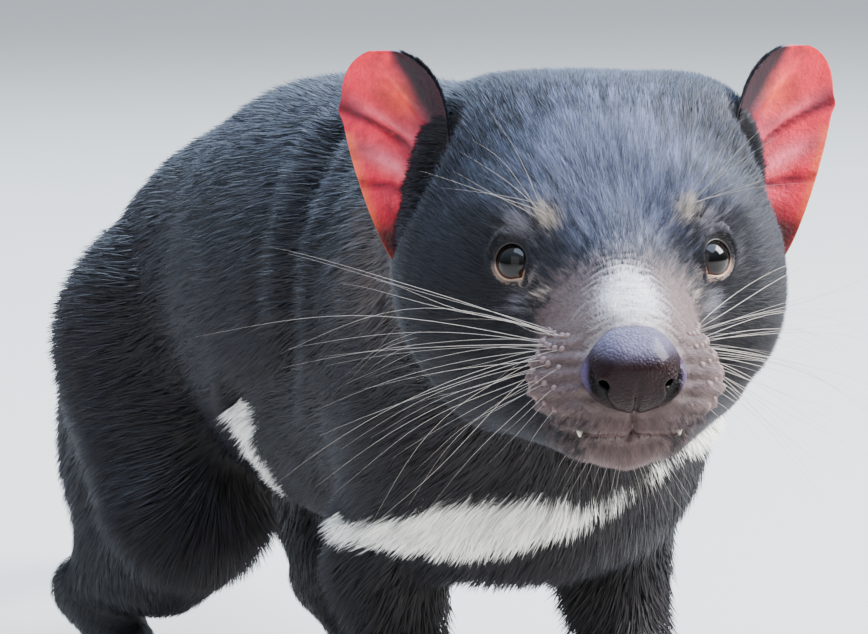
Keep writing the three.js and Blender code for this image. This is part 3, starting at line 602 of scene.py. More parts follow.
def eye_axes(side):
    """Gaze, outward and upward unit directions of an eye."""
    out, up = math.radians(GAZE_OUT), math.radians(GAZE_UP)
    level = math.cos(up)
    ahead = np.array((side * math.sin(out) * level, -math.cos(out) * level, math.sin(up)))
    out = unit(np.cross(ahead, (0, 0, 1.0)) * -side)
    return ahead, out, unit(np.cross(ahead, out) * side)


def lid_edge(u, v, face):
    """Signed reach beyond the almond between the lids, for places u outwards and v upwards of the
    gaze, in millimetres: an oval that is drawn to a point at its lower inner corner."""
    half = face.lid_half_width / MM
    corner = bell((u + half * 0.75) / 2.8, (v + half * 0.75) / 2.6) * 2.4
    u, v = u - 0.9, v - 2.2
    high = np.where(v > 0, 0.97, 1.0)
    return np.hypot(u / (half * 0.9), v / (half * high)) * half - half - corner


def almond(p, face):
    """Reach beyond the opening between the lids, and depth along the gaze, for mirrored places:
    the opening is a cone from the eye's middle with the almond's outline, close to the eye."""
    ahead, out, up = eye_axes(1)
    q = p - np.array(EYE_AT)
    depth = q @ ahead
    radius = face.eye_radius / MM
    scale = np.maximum(depth / radius, 0.5)
    beyond = np.maximum(np.linalg.norm(q, axis=-1) - radius - 5, 0)
    return lid_edge(q @ out / scale, q @ up / scale, face) + beyond, depth


def ear_frame(side):
    """Directions of the ear: up to its tip, ahead out of its cup, and across to its outer edge."""
    lean, out = math.radians(EAR["lean"]), math.radians(EAR["face_out"])
    up = unit(np.array((side * math.sin(lean), 0.1, math.cos(lean))))
    front = np.array((side * math.sin(out), -math.cos(out), 0))
    return up, front, np.array((side * math.cos(out), math.sin(out), 0))


def ear_hollow(m):
    """Distance to the hollow before the ear's cup, an ellipsoid in the ear's own directions."""
    off = m - np.array(EAR["foot"])
    return ellipsoid(np.stack([off @ way for way in ear_frame(1)], -1), *EAR_HOLLOW)


def wrinkles(p):
    """Rings about the nose, most on its bridge: a sine of the distance, uneven in width."""
    x, y, z = parts_of(p)
    reach = np.linalg.norm(p - (0, -58, -30), axis=-1) + 1.3 * soft_noise(p, 10)
    mask = rise(z, -27, 7) * fall(y, -38, 16)
    mask = mask * (0.7 + 0.3 * soft_noise(p + 11, 8))
    return np.sin(reach * TAU / 3.0) * mask * bell(x / 15)


def muzzle_share(h):
    """Pinkish thin-haired part: full near the nose and lips, fading out below the eyes."""
    x, y, z = parts_of(h)
    side = np.abs(x)
    ahead = blend(0, 1, (10 - y - 0.3 * side) / 40)
    high = blend(1, 0, (z + 5 - 0.1 * y) / 18)
    low = rise(-z, 28, 16) * rise(side, 3, 14)
    return ahead * (0.35 + 0.65 * high) * (1 - 0.6 * low)


def skin_field(h, coat, face):
    """The coat's outline sunk by the coat's depth, with lids, lips, wrinkles and folds."""
    d = outline(h) + coat_depth(h, coat)
    flank = (h[..., 1] > 60) & (h[..., 1] < 330) & (h[..., 0] < 0)
    if flank.any():
        away, _ = line_distance(to_body(h[flank]), NECK_FOLD)
        d[flank] += 6.5 * bell(away / 7.5) - 2.0 * bell((away - 17) / 8)
    near = (h[..., 1] < 60) & (h[..., 2] > -75)
    p = h[near]
    if not len(p):
        return d
    e = d[near]
    m = mirror(p)
    x, y, z = parts_of(p)
    mouth = mouth_distance(m)
    open_part = 1 - blend(0, 1, (y - MOUTH_CORNER_Y + 8) / 8)
    e += 1.9 * bell(mouth / 0.9) * open_part
    e -= 0.5 * bell((mouth - 2.2) / 1.6) * open_part
    e += 1.8 * (bell(x / 1.1) * rise(-z, 33, 4)) * (y < -40) * (z > -46)
    rows = np.sin((z + 0.3 * y) * TAU / 5.2)
    e -= 0.5 * rows * bell(ellipsoid(m, *WHISKER_PAD) / 4) * rise(m[:, 0], 9, 5)
    e -= 0.42 * wrinkles(p)
    e -= 0.35 * soft_noise(p, 9) * muzzle_share(p)
    e = -melt(-e, ear_hollow(m), 4)
    edge, depth = almond(m, face)
    ball = np.linalg.norm(m - EYE_AT, axis=-1) - face.eye_radius / MM
    e = melt(e, np.maximum(ball - 1.0, -depth), 4.5)
    fold = bell((edge - 3.6) / 1.2) * blend(0, 1, (z - EYE_AT[2] - 2) / 5)
    e += 0.45 * fold * (depth > 0) * (ball < 9)
    bevel = edge * 0.8 - 0.5 * np.maximum(ball - 1.0, 0)
    d[near] = np.maximum(e, -np.maximum(bevel, 2.0 - depth))
    return d


# Surfaces from fields
def graded(stops, spacing):
    """Grid lines whose spacing changes from one stretch between stops to the next."""
    lines = [np.array([stops[0]], float)]
    for a, b, step in zip(stops, stops[1:], spacing):
        count = max(1, round((b - a) / step))
        lines.append(a + (b - a) * np.arange(1, count + 1) / count)
    return np.concatenate(lines).astype(np.float32)


def field_on_grid(field, axes, band=11.0, coarse=4):
    """Field values on a grid. Points far from the surface keep the value of a coarser grid."""
    picks = [np.unique(np.append(np.arange(0, len(a), coarse), len(a) - 1)) for a in axes]
    grid = np.stack(np.meshgrid(*[a[i] for a, i in zip(axes, picks)], indexing="ij"), -1)
    rough = field(grid.reshape(-1, 3)).reshape(grid.shape[:3]).astype(np.float32)
    for axis, (a, i) in enumerate(zip(axes, picks)):
        low = np.clip(np.searchsorted(a[i], a, side="right") - 1, 0, len(i) - 2)
        t = (a - a[i][low]) / (a[i][low + 1] - a[i][low])
        t = t.reshape([-1 if n == axis else 1 for n in range(3)]).astype(np.float32)
        rough = np.take(rough, low, axis) * (1 - t) + np.take(rough, low + 1, axis) * t
    values = rough.ravel()
    near = np.nonzero(np.abs(values) < band)[0]
    for part in np.array_split(near, max(1, len(near) // 400000)):
        at = np.unravel_index(part, rough.shape)
        values[part] = field(np.stack([a[i] for a, i in zip(axes, at)], -1))
    return values.reshape(rough.shape)


def moved(at, *steps):
    """Copy of grid places with steps, each of an axis and a count, added."""
    at = at.copy()
    for axis, count in steps:
        at[:, axis] += count
    return at


def surface_net(values, axes):
    """Points and quads of the zero surface: one point in each cell that it crosses, at the mean
    of the crossings of the cell's edges, and a quad across each grid edge that it crosses."""
    inside = values < 0
    cells = np.array(values.shape) - 1
    total = np.zeros((*cells, 3), np.float32)
    hits = np.zeros(cells, np.int32)
    crossings = []
    for axis in range(3):
        lo, hi = [slice(None)] * 3, [slice(None)] * 3
        lo[axis], hi[axis] = slice(0, -1), slice(1, None)
        at = np.argwhere(inside[tuple(lo)] != inside[tuple(hi)])
        end = moved(at, (axis, 1))
        a, b = values[tuple(at.T)], values[tuple(end.T)]
        place = np.stack([axes[n][at[:, n]] for n in range(3)], -1)
        place[:, axis] += a / (a - b) * (axes[axis][end[:, axis]] - axes[axis][at[:, axis]])
        crossings.append((at, a < 0))
        u, w = [n for n in range(3) if n != axis]
        for du, dw in ((0, 0), (0, 1), (1, 0), (1, 1)):
            cell = moved(at, (u, -du), (w, -dw))
            ok = (cell >= 0).all(1) & (cell < cells).all(1)
            index = tuple(cell[ok].T)
            np.add.at(total, index, place[ok])
            np.add.at(hits, index, 1)
    used = hits > 0
    number = np.full(cells, -1, np.int64)
    number[used] = np.arange(used.sum())
    quads = []
    for axis, (at, first_inside) in enumerate(crossings):
        u, w = (axis + 1) % 3, (axis + 2) % 3
        corners = []
        for du, dw in ((1, 1), (0, 1), (0, 0), (1, 0)):
            cell = np.clip(moved(at, (u, -du), (w, -dw)), 0, cells - 1)
            corners.append(number[tuple(cell.T)])
        quad = np.stack(corners, -1)
        quad[~first_inside] = quad[~first_inside][:, ::-1]
        quads.append(quad[(quad >= 0).all(1)])
    return total[used] / hits[used][:, None], np.concatenate(quads)


def settle(field, p, rounds=2, longest=0.8, step=0.4):
    """Newton steps along the slope, from central differences, onto the zero surface. Each is of
    a limited length."""
    for _ in range(rounds):
        d = field(p)
        shifts = step * np.eye(3, dtype=np.float32)
        g = np.stack([(field(p + s) - field(p - s)) / (2 * step) for s in shifts], -1)
        size = np.maximum((g * g).sum(-1), 0.1)
        move = np.clip(d / np.sqrt(size), -longest, longest)
        p = p - (move / np.sqrt(size))[:, None] * g
    return p.astype(np.float32)


# Meshes
def new_mesh(name, points, faces, material, colours=None, uv=None):
    """Mesh object from points in body millimetres and faces of one size each."""
    mesh = bpy.data.meshes.new(name)
    places = to_frame(points).astype(np.float32)
    groups = faces if isinstance(faces, list) else [faces]
    groups = [np.asarray(g, np.int32) for g in groups]
    starts, count = [], 0
    for g in groups:
        starts.append(count + np.arange(len(g), dtype=np.int32) * g.shape[1])
        count += g.size
    index = np.concatenate([g.ravel() for g in groups])
    mesh.vertices.add(len(places))
    mesh.vertices.foreach_set("co", places.ravel())
    mesh.loops.add(count)
    mesh.loops.foreach_set("vertex_index", index)
    mesh.polygons.add(sum(len(g) for g in groups))
    mesh.polygons.foreach_set("loop_start", np.concatenate(starts))
    mesh.polygons.foreach_set("use_smooth", np.full(len(mesh.polygons), True))
    mesh.update(calc_edges=True)
    if colours is not None:
        tint = mesh.color_attributes.new("tint", "FLOAT_COLOR", "POINT")
        rgba = np.ones((len(places), 4), np.float32)
        rgba[:, :3] = colours
        tint.data.foreach_set("color", rgba.ravel())
    if uv is not None:
        layer = mesh.uv_layers.new(name="OFBake")
        layer.data.foreach_set("uv", np.asarray(uv, np.float32)[index].ravel())
    mesh.materials.append(material)
    obj = bpy.data.objects.new(name, mesh)
    bpy.context.scene.collection.objects.link(obj)
    return obj


def finish_piece(obj, slot, *nodes):
    """Puts a piece on the one body and hides the CAD nodes that it stands in for. The slot is not used.
    """
    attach(obj, "root")
    if nodes:
        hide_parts(*nodes)


def ring_quads(rings, count, closed=False):
    """Quads between neighbouring rings of points, and from the last to the first if closed."""
    r, k = np.meshgrid(np.arange(rings if closed else rings - 1), np.arange(count), indexing="ij")
    following = (r + 1) % rings * count
    a, b = r * count + k, r * count + (k + 1) % count
    return np.stack([a, b, following + (k + 1) % count, following + k], -1).reshape(-1, 4)


def circles(middle, radius, side, over, count):
    """Circle of points about each middle: radius (cos a side + sin a over)."""
    angle = TAU * np.arange(count) / count
    cosine, sine = np.cos(angle)[:, None], np.sin(angle)[:, None]
    radius = radius[..., None, None]
    return (
        middle[..., None, :]
        + radius * cosine * side[..., None, :]
        + radius * sine * over[..., None, :]
    )


def repeat_faces(faces, copies, size):
    """The same faces for each copy of a shape that has size points."""
    shift = (np.arange(copies) * size)[:, None, None]
    return (faces[None] + shift).reshape(-1, faces.shape[1])


def tubes(paths, radii, sides):
    """Round tapering bodies: paths is (n, rings, 3), radii (n, rings). Each ring is a circle
    across the path's heading, and a fan closes each end. Returns points, and quads and
    triangles."""
    paths = np.asarray(paths, float)
    n, rings, _ = paths.shape
    heading = unit(np.gradient(paths, axis=1))
    side = unit(np.cross(heading, np.where(np.abs(heading[..., 2:]) > 0.95, (1.0, 0, 0), (0, 0, 1.0))))
    ring = circles(paths, radii, side, np.cross(side, heading), sides)
    points = np.concatenate([ring.reshape(n, -1, 3), paths[:, :1], paths[:, -1:]], 1)
    k = np.arange(sides)
    following = (k + 1) % sides
    first, top = rings * sides, (rings - 1) * sides
    start = np.stack([np.full(sides, first), following, k], -1)
    end = np.stack([np.full(sides, first + 1), top + k, top + following], -1)
    faces = ring_quads(rings, sides), np.concatenate([start, end])
    size = points.shape[1]
    return points.reshape(-1, 3), [repeat_faces(f, n, size)[:, ::-1] for f in faces]


def ball_grid(around, down):
    """Unit ball by latitude and longitude, closed at the poles by shared points. The quads that
    meet at a pole each take in two neighbouring triangles."""
    lat = np.pi * (np.arange(1, down) / down)
    lon = TAU * np.arange(around) / around
    theta, phi = np.meshgrid(lat, lon, indexing="ij")
    body = np.stack([np.sin(theta) * np.cos(phi), np.sin(theta) * np.sin(phi), np.cos(theta)], -1)
    points = np.concatenate([body.reshape(-1, 3), [(0, 0, 1), (0, 0, -1)]])
    top, low = len(points) - 2, len(points) - 1
    k = np.arange(0, around, 2)
    last = (down - 2) * around
    cap = np.stack([np.full(len(k), top), k, k + 1, (k + 2) % around], -1)
    end = np.stack([np.full(len(k), low), (k + 2) % around + last, k + 1 + last, k + last], -1)
    return points, np.concatenate([ring_quads(down - 1, around)[:, [0, 3, 2, 1]], cap, end])


# Materials
def add_node(tree, kind, links=(), **values):
    """Adds one shader node, sets its inputs or properties by name and joins its inputs."""
    node = tree.nodes.new(kind)
    for key, value in values.items():
        if key in node.inputs:
            node.inputs[key].default_value = value
        elif key.isdigit():
            node.inputs[int(key)].default_value = value
        else:
            setattr(node, key, value)
    for key, socket in links:
        tree.links.new(socket, node.inputs[key])
    return node


def new_material(name, colour=None, **values):
    """Principled material with uniform values, and its tree and shader."""
    material = bpy.data.materials.new(name)
    material.use_nodes = True
    tree = material.node_tree
    shader = tree.nodes["Principled BSDF"]
    for key, value in values.items():
        shader.inputs[key.replace("_", " ")].default_value = value
    if colour is not None:
        shader.inputs["Base Color"].default_value = (*colour, 1)
    return material, tree, shader


def object_noise(tree, per_mm, detail=3.0):
    """Noise whose features are about 1/per_mm across, read from object coordinates."""
    place = add_node(tree, "ShaderNodeTexCoord").outputs["Object"]
    noise = add_node(
        tree, "ShaderNodeTexNoise", [("Vector", place)],
        Scale=per_mm / MM, Detail=detail, Roughness=0.6,
    )
    return noise.outputs["Fac"]


def tinted_material(name, amount, per_mm, **values):
    """Material of the piece's own tint, darkened and lightened by up to amount in spots."""
    material, tree, shader = new_material(name, **values)
    tint = add_node(tree, "ShaderNodeAttribute", attribute_name="tint").outputs["Color"]
    level = add_node(
        tree, "ShaderNodeMapRange", [("Value", object_noise(tree, per_mm))],
        **{"From Min": 0.25, "From Max": 0.75, "To Min": 1 - amount, "To Max": 1 + amount},
    )
    mixed = add_node(
        tree, "ShaderNodeVectorMath", [(0, tint), ("Scale", level.outputs[0])], operation="SCALE"
    )
    tree.links.new(mixed.outputs[0], shader.inputs["Base Color"])
    return material, tree, shader


def grain(tree, shader, height, depth, strength=1.0):
    """Fine relief of the surface, depth in millimetres."""
    relief = add_node(
        tree, "ShaderNodeBump", [("Height", height)], Distance=depth * MM, Strength=strength
    )
    tree.links.new(relief.outputs["Normal"], shader.inputs["Normal"])


# Markings
def band_share(b):
    """1 inside the white bands, by the distance from their middle lines, which lie on the coat,
    and their half widths there."""
    share = np.zeros(b.shape[:-1])
    for band in (BAND, FLANK_BAND):
        d, at = line_distance(b, [p for p, _ in band])
        half = np.interp(at, np.arange(len(band)), [w for _, w in band])
        half = np.hypot(half * (1 + 0.18 * soft_noise(b, 14)), BAND_SINK)
        share = np.maximum(share, blend(1, 0, (d - half + 1.5) / 3))
    return share


def streaks(h):
    """Uneven value from about -1 to 1 in narrow locks along the coat: noise that changes fast
    across the lie of the hair and slowly along it."""
    b = to_body(h)
    off = h - np.array(HAIR_CENTRE)
    reach = np.linalg.norm(off, axis=-1, keepdims=True)
    head = off / reach * 75 + 0.1 * reach
    legs = b[..., 2:] < 95
    body = np.where(legs, b * (1, 1, 0.2) + 7, b * (1, 0.2, 1) + 0.4 * b[..., 1:2] * (0, 0, 1))
    q = np.where(b[..., 1:2] < -40, head, body)
    return (soft_noise(q, 3.4) + soft_noise(q + 31, 2.1) + soft_noise(q + 77, 5.5)) / 2


def near_point(h, place, size):
    """1 at a place in the mirrored head, fading over its size along x and z."""
    away = (np.abs(h[..., 0]) - place[0]) ** 2 + (h[..., 2] - place[1]) ** 2
    return np.exp(-away / size**2) * (h[..., 1] < 12)


def markings(h, coat, face, chance=None):
    """Colour of the coat and skin at head places, from a few masses of colour laid over one
    another, with painted shade low on the body, over the upper lids and along the neck's folds, and
    painted sheen on the top of the head. Where chances are given, a marking is spread over single
    hairs: each hair leans to one colour. Shares of 0 and 1 stay so for every hair."""
    b = to_body(h)
    x, y, z = parts_of(h)
    side = np.abs(x)
    _, back, height = parts_of(b)
    colour = mix(coat.brown, coat.black, 0.25 + 0.75 * rise(height, 150, 110))
    # Painted shade: the coat is darkened low on the body, towards the floor and away from the light
    # overhead.
    colour = colour * blend(0.6, 1, (height - 100) / 80)[..., None]
    neck = np.exp(-(((b - (-58, -20, 225)) / (30, 44, 34)) ** 2).sum(-1))
    # Painted sheen: grey on the top of the head, strongest in its middle and fading to the sides and
    # back, as the sky lights it.
    top = rise(z, -14, 34) * fall(back, -40, 50)
    top = top * blend(1, 0.35, (side - 14) / 32) * blend(1, 0.55, (y - 5) / 45)
    top = top * blend(1, 0.2, (y - 52) / 26)
    forehead = bell(x / 14, (z + 3) / 16) * (y < 10)
    socket = near_point(h, OVER_EYE, 9.0) + 0.8 * near_point(h, UNDER_EYE, 7.0)
    bridge = bell(x / 11, (y + 46) / 14) * rise(z, -26, 8)
    brows = [bell(np.linalg.norm(b - spot, axis=-1) / 6.8) * 0.66 for spot in BROW_SPOTS]
    tear = near_point(h, TEAR_SPOT, 5.0) * rise(y, -24, 8)
    edge, depth = almond(mirror(h), face)
    lid = bell(np.maximum(edge, 0) / 2.6) * (depth > 0) * blend(0, 1, (z - EYE_AT[2] + 2) / 5)
    fold, _ = line_distance(b, NECK_FOLD)
    for tone, share, by_hair in (
        (coat.neck, 0.85 * neck, True),
        (coat.grey_and_sheen, 0.6 * top, True),
        (face.bridge, 0.5 * forehead, True),
        (mix(coat.grey_and_sheen, coat.tan, 0.25), 0.55 * socket, True),
        (coat.black, 0.9 * near_point(h, DARK_SPOT, 5.0), False),
        (face.muzzle, muzzle_share(h), True),
        (face.bridge, 0.95 * bridge, True),
        (coat.tan, brows[0], True),
        (coat.tan, brows[1], True),
        (coat.tan, 0.42 * tear, True),
        # Dark skin round the upper lid, darkened further as painted shade where the brow shades it.
        (LID_SHADE, 0.92 * lid, False),
        # Painted shade along the folds of the neck.
        (FOLD_SHADE, 0.6 * bell(fold / 6), False),
        (coat.white, band_share(b), True),
    ):
        if by_hair and chance is not None:
            share = blend(0, 1, (1.7 * share - 0.35 - chance) * 1.45 + 0.5)
        colour = mix(colour, tone, share)
    return colour


def skin_colours(h, coat, face):
    """Markings, with paler lids, pink lips, and painted shade along the line of the mouth and in the
    grooves of the wrinkles.
    """
    m = mirror(h)
    _, y, z = parts_of(h)
    colour = markings(h, coat, face) * blend(0.62, 0.95, (z + 24) / 8)[:, None]
    mouth, front = mouth_distance(m), fall(y, -34, 22)
    colour = mix(colour, face.lip, bell(mouth / 3.5) * 0.6 * front)
    # Painted shade in the gap between the lips.
    colour = mix(colour, MOUTH_SHADE, bell(mouth / 1.1) * front)
    edge, depth = almond(m, face)
    rim = bell(np.maximum(edge, 0) / 1.1) * ((depth > 0) & (edge < 16))
    colour = mix(colour, face.lid, rim * 0.5 * blend(0, 1, (EYE_AT[2] + 1.5 - z) / 5))
    # Painted shade in the grooves between the wrinkles.
    wave = wrinkles(h)
    colour = colour * (1 - 0.35 * (0.5 - 0.5 * wave) * blend(0, 1, np.abs(wave) / 0.2))[:, None]
    cup = mix(CUP_TOP, CUP_LOBE, fall(z, 2, 14))
    return mix(colour, cup, fall(ear_hollow(m), 0.5, 2) * (y > 20))


# Skin
STATE = {}
# Grid steps over the face, round it, at the feet and on the body.
GRID_STEPS, QUICK_STEPS = (1.05, 2.3, 3.0, 5.8), (1.8, 3.2, 4.0, 6.0)
SKIN_NODES = ("head", "muzzle", "lower_jaw", "neck", "chest", "belly", "rump", "tail_root", "tail_tip")
PAIRED_NODES = ("upper_arm", "forearm", "thigh", "forefoot", "hindfoot")


def build_skin(coat, face):
    """Zero surface of skin_field on a grid that is finest over the face, settled by Newton
    steps."""
    fine, middle, feet_step, coarse = GRID_STEPS
    axes = [
        graded((-205, -84, -46, 46, 84, 116), (feet_step, middle, fine, middle, feet_step)),
        graded((-84, 14, 110, 660), (fine, middle, coarse)),
        graded((-260, -195, -70, 26, 64, 100), (feet_step, coarse, fine, middle, coarse)),
    ]

    def above_floor(p):
        """The skin cut by the floor, so that the soles are flat."""
        floor = -(p @ HEAD_TURNED[2].astype(np.float32) + EYE_MIDPOINT[2])
        return np.maximum(skin_field(p, coat, face), floor)

    points, quads = surface_net(field_on_grid(above_floor, axes), axes)
    return settle(above_floor, points), quads


def vertex_normals(points, quads):
    """Mean of the quads' normals at each point, each the cross product of its diagonals."""
    a, b, c, d = (points[quads[:, k]] for k in range(4))
    cross = np.cross(c - a, d - b)
    normals = np.zeros_like(points)
    for k in range(4):
        np.add.at(normals, quads[:, k], cross)
    return unit(normals)


class DEVIL_OT_skin(bpy.types.Operator):
    """One closed skin from nose to tail tip"""

    bl_idname = "devil.skin"
    bl_label = "Skin"

    def execute(self, context):
        coat, face = context.scene.devil_coat, context.scene.devil_face
        points, quads = build_skin(coat, face)
        STATE["skin"] = (points, quads, vertex_normals(points, quads))
        # Skin under thin hair: dull, faintly translucent and finely pored.
        material, tree, shader = tinted_material(
            "thin_haired_skin", 0.3, 0.5, Roughness=0.62, Subsurface_Weight=0.08,
            Subsurface_Scale=0.003, Specular_IOR_Level=0.4,
        )
        grain(tree, shader, object_noise(tree, 1.6, detail=4), 0.5)
        tint = skin_colours(points, coat, face)
        skin = new_mesh("skin", to_body(points), quads, material, colours=tint)
        paired = [f"{node}_{side}" for node in PAIRED_NODES for side, _ in NAMED_SIDES]
        finish_piece(skin, "coat", *SKIN_NODES, *paired)
        return {"FINISHED"}


# Coat
# Pieces of the coat: name, share of the setting's count of hairs, parts along a hair, width.
COAT_PIECES = (
    ("face_fur_left", 1.6, 1, 1.0),
    ("face_fur_right", 1.6, 1, 1.0),
    ("crown_fur", 1.0, 2, 1.0),
    ("cheek_fur", 1.0, 2, 1.0),
    ("neck_fur", 1.0, 2, 1.0),
    ("flank_fur", 1.0, 2, 1.0),
    ("rump_fur", 0.85, 2, 1.2),
    ("leg_fur", 0.7, 2, 1.0),
)
COAT_SEED, EAR_SEED, WHISKER_SEED = 7, 11, 5
# Roots start this deep in the skin, and no hair goes below this height over the floor.
ROOT_SUNK, FLOOR_GAP = 0.3, 0.3
# Least and most share of a hair's usual length, width and lift.
LENGTH_SPREAD, WIDTH_SPREAD, LIFT_SPREAD = (0.78, 1.13), (0.8, 1.25), (0.66, 1.14)
# Where a hair is widest: share of its length, and of its lift. Its tip has this share of the lift.
MIDDLE_ALONG, MIDDLE_UP, TIP_UP = 0.45, 0.6, 0.95
EAR_HAIRS, QUICK_EAR_HAIRS, EAR_HAIR_WIDTH = 14000, 4000, 0.26
EAR_HAIR_LENGTHS, EAR_HAIR_LIFTS = (2.6, 4.8), (0.12, 0.36)


def lie_of_coat(h, normal):
    """Unit direction in which the hair lies: away from the nose on the head, back along the
    body, down the legs and along the tail, kept along the skin."""
    _, back, height = parts_of(to_body(h))
    from_nose = unit(h - HAIR_CENTRE)
    from_nose[..., 2] += 0.1
    body = np.broadcast_to(np.array((0.0, 1.0, -0.42)), h.shape).copy()
    body[..., 2] -= 0.5 * rise(-height, -150, 60)
    flow = blend(from_nose @ HEAD_TURNED.T, body, ((back + 95) / 60)[..., None])
    flow = mix(flow, (0.0, 0.25, -1.0), rise(-height, -105, 50) * (back < 345))
    flow = mix(flow, (0.35, 0.8, -0.55), rise(back, 310, 50))
    return level_with(flow, normal)


def hair_regions(h):
    """Number of the coat piece that a place belongs to, by where it is on the body."""
    b = to_body(h)
    region = np.full(len(h), 5)
    region[b[:, 1] < 62] = 4
    region[b[:, 1] > 200] = 6
    region[b[:, 2] < 100] = 7
    region[(b[:, 1] > 320) & (b[:, 0] < 30 + (b[:, 1] - 320)) & (b[:, 2] > 48)] = 6
    in_head = (h @ np.array((0, 0.864, -0.504))) < 66 * 0.864 + 10 * 0.504
    in_head &= b[:, 1] < 10
    region[in_head] = np.where(h[in_head, 2] > 0, 2, 3)
    in_face = in_head & (h[:, 1] < 24)
    region[in_face] = np.where(h[in_face, 0] > 0, 0, 1)
    return region


class DEVIL_OT_coat(bpy.types.Operator):
    """Hairs over the whole skin, in pieces by region"""

    bl_idname = "devil.coat"
    bl_label = "Coat"

    def execute(self, context):
        coat, face = context.scene.devil_coat, context.scene.devil_face
        # Guard hair: soft gloss, with a cool sheen that the sky gives to black hair.
        material, tree, shader = new_material(
            "guard_hair", Roughness=0.5, Specular_IOR_Level=0.27, Sheen_Weight=0.10,
            Sheen_Roughness=0.4, Sheen_Tint=(*BLUE_SHEEN, 1),
        )
        tint = add_node(tree, "ShaderNodeAttribute", attribute_name="tint")
        tree.links.new(tint.outputs["Color"], shader.inputs["Base Color"])
        points, quads, normals = STATE["skin"]
        region = hair_regions(points[quads].mean(1))
        rng = np.random.default_rng(COAT_SEED)
        for number, (name, share, parts, wide) in enumerate(COAT_PIECES):
            count = int(coat.hairs * share * (1))
            wide = wide * 1
            chosen = quads[region == number]
            grow_hairs(name, chosen, count, parts, wide, points, normals, coat, face, material, rng)
        return {"FINISHED"}


def unwrap(h):
    """Place on a sheet from 0 to 1 for the skin's own shape: the angle round the head, trunk,
    tail or leg, and the distance along it, each in its own part of the sheet."""
    b = to_body(h)
    x, y, z = parts_of(h)
    across, back, height = parts_of(b)

    def round_part(a, c, along, start, span):
        angle = np.arctan2(a, c) / TAU + 0.5
        return np.stack([0.01 + 0.97 * angle, start + span * np.clip(along, 0, 1)], -1)

    trunk = round_part(across, height - 175, (back + 90) / 420, 0.42, 0.36)
    head = round_part(x, z + 12, (y + 75) / 150, 0.01, 0.39)
    is_head = (y < 60) & (back < -20) & (z > -75)
    sheet = np.where(is_head[..., None], head, trunk)
    is_tail = back > 330
    places, _ = tail_line(np.clip((back - 284) / 230, 0, 1).ravel())
    off = b - places.reshape(b.shape)
    tail = round_part(off[..., 0], off[..., 2], (back - 330) / 190, 0.80, 0.06)
    sheet = np.where(is_tail[..., None], tail, sheet)
    hind = back > 130
    quarter = (across > 0) * 1 + hind * 2
    angle = np.arctan2(np.abs(across) - 42, back - np.where(hind, 245, 5)) / TAU + 0.5
    leg = np.stack([0.01 + 0.24 * quarter + 0.225 * angle, 0.88 + 0.11 * height / 100], -1)
    return np.where(((height < 100) & ~is_tail)[..., None], leg, sheet)


def scatter(corners, weight, count, rng):
    """Random picks of quads by weight, and a function that gives each pick's place between the
    four values at its quad's corners."""
    pick = rng.choice(len(corners), count, p=weight / weight.sum())
    s, t = rng.random((2, count, 1))

    def between(v):
        return (v[:, 0] * (1 - s) + v[:, 1] * s) * (1 - t) + (v[:, 3] * (1 - s) + v[:, 2] * s) * t

    return pick, between


def diagonals_cross(corners):
    """Normal of each quad, as long as twice its area."""
    return np.cross(corners[:, 2] - corners[:, 0], corners[:, 3] - corners[:, 1])


def grow_hairs(name, quads, count, parts, wide, points, normals, coat, face, material, rng):
    """Each hair is a flat tapering blade. Its root is a random place on the skin, its middle
    lies along the coat and its tip bends back down to it. Hairs are shortest and finest round
    the nose and eyes."""
    corners = points[quads]
    weight = np.linalg.norm(diagonals_cross(corners), axis=-1) * density(corners.mean(1), face)
    pick, between = scatter(corners, weight, count, rng)
    root = between(corners[pick])
    base = to_body(root)
    normal = unit(between(normals[quads[pick]])) @ HEAD_TURNED.T
    lie = lie_of_coat(root, normal)
    lie = unit(lie + 0.22 * tangent_noise(root, normal) + rng.normal(0, 0.10, (count, 3)))
    lie = level_with(lie, normal)
    lift = 0.25 + 0.12 * rise(base[:, 2], 205, 50) + 0.1 * face_share(root)
    length = coat_depth(root, coat) / lift
    width = 0.11 + 0.017 * length
    length = length * (1 - 0.3 * band_share(base))
    edge, depth = almond(mirror(root), face)
    length = length * np.where(depth > 0, blend(0.45, 1, (edge - 1) / 6), 1)
    cupped = fall(ear_hollow(mirror(root)), 1, 4) * (root[:, 1] > 20)
    length = length * (1 - 0.6 * cupped)
    length = length * rng.uniform(*LENGTH_SPREAD, count)
    width = width * rng.uniform(*WIDTH_SPREAD, count) * wide
    lift = lift * rng.uniform(*LIFT_SPREAD, count)
    place = (base + 0.75 * length[:, None] * lie - np.array(EYE_MIDPOINT)) @ HEAD_TURNED
    lock = streaks(root)
    chance = np.clip(0.5 + 0.38 * lock + 0.5 * (rng.random(count) - 0.5), 0, 1)
    colour = markings(place, coat, face, chance)
    colour = colour * (rng.normal(1, 0.22, count) - 0.25 * lock).clip(0.35, 1.9)[:, None]
    # Painted sheen: hairs high on the body that face up get more silver at their tips, as the sky
    # lights them; the rest get a little at random.
    high = rise(base[:, 2], 215, 60) * rise(normal[:, 2], -0.2, 0.9)
    tip_frost_and_sheen = mix(colour * 1.15, coat.silver_tips_and_sheen, (0.07 + 0.5 * high) * rng.random(count) ** 2.5)
    lay_hairs(
        name, base - ROOT_SUNK * normal, normal, lie, length, width, lift, parts,
        (colour * 0.5, colour, tip_frost_and_sheen), unwrap(root), material, rng,
    )


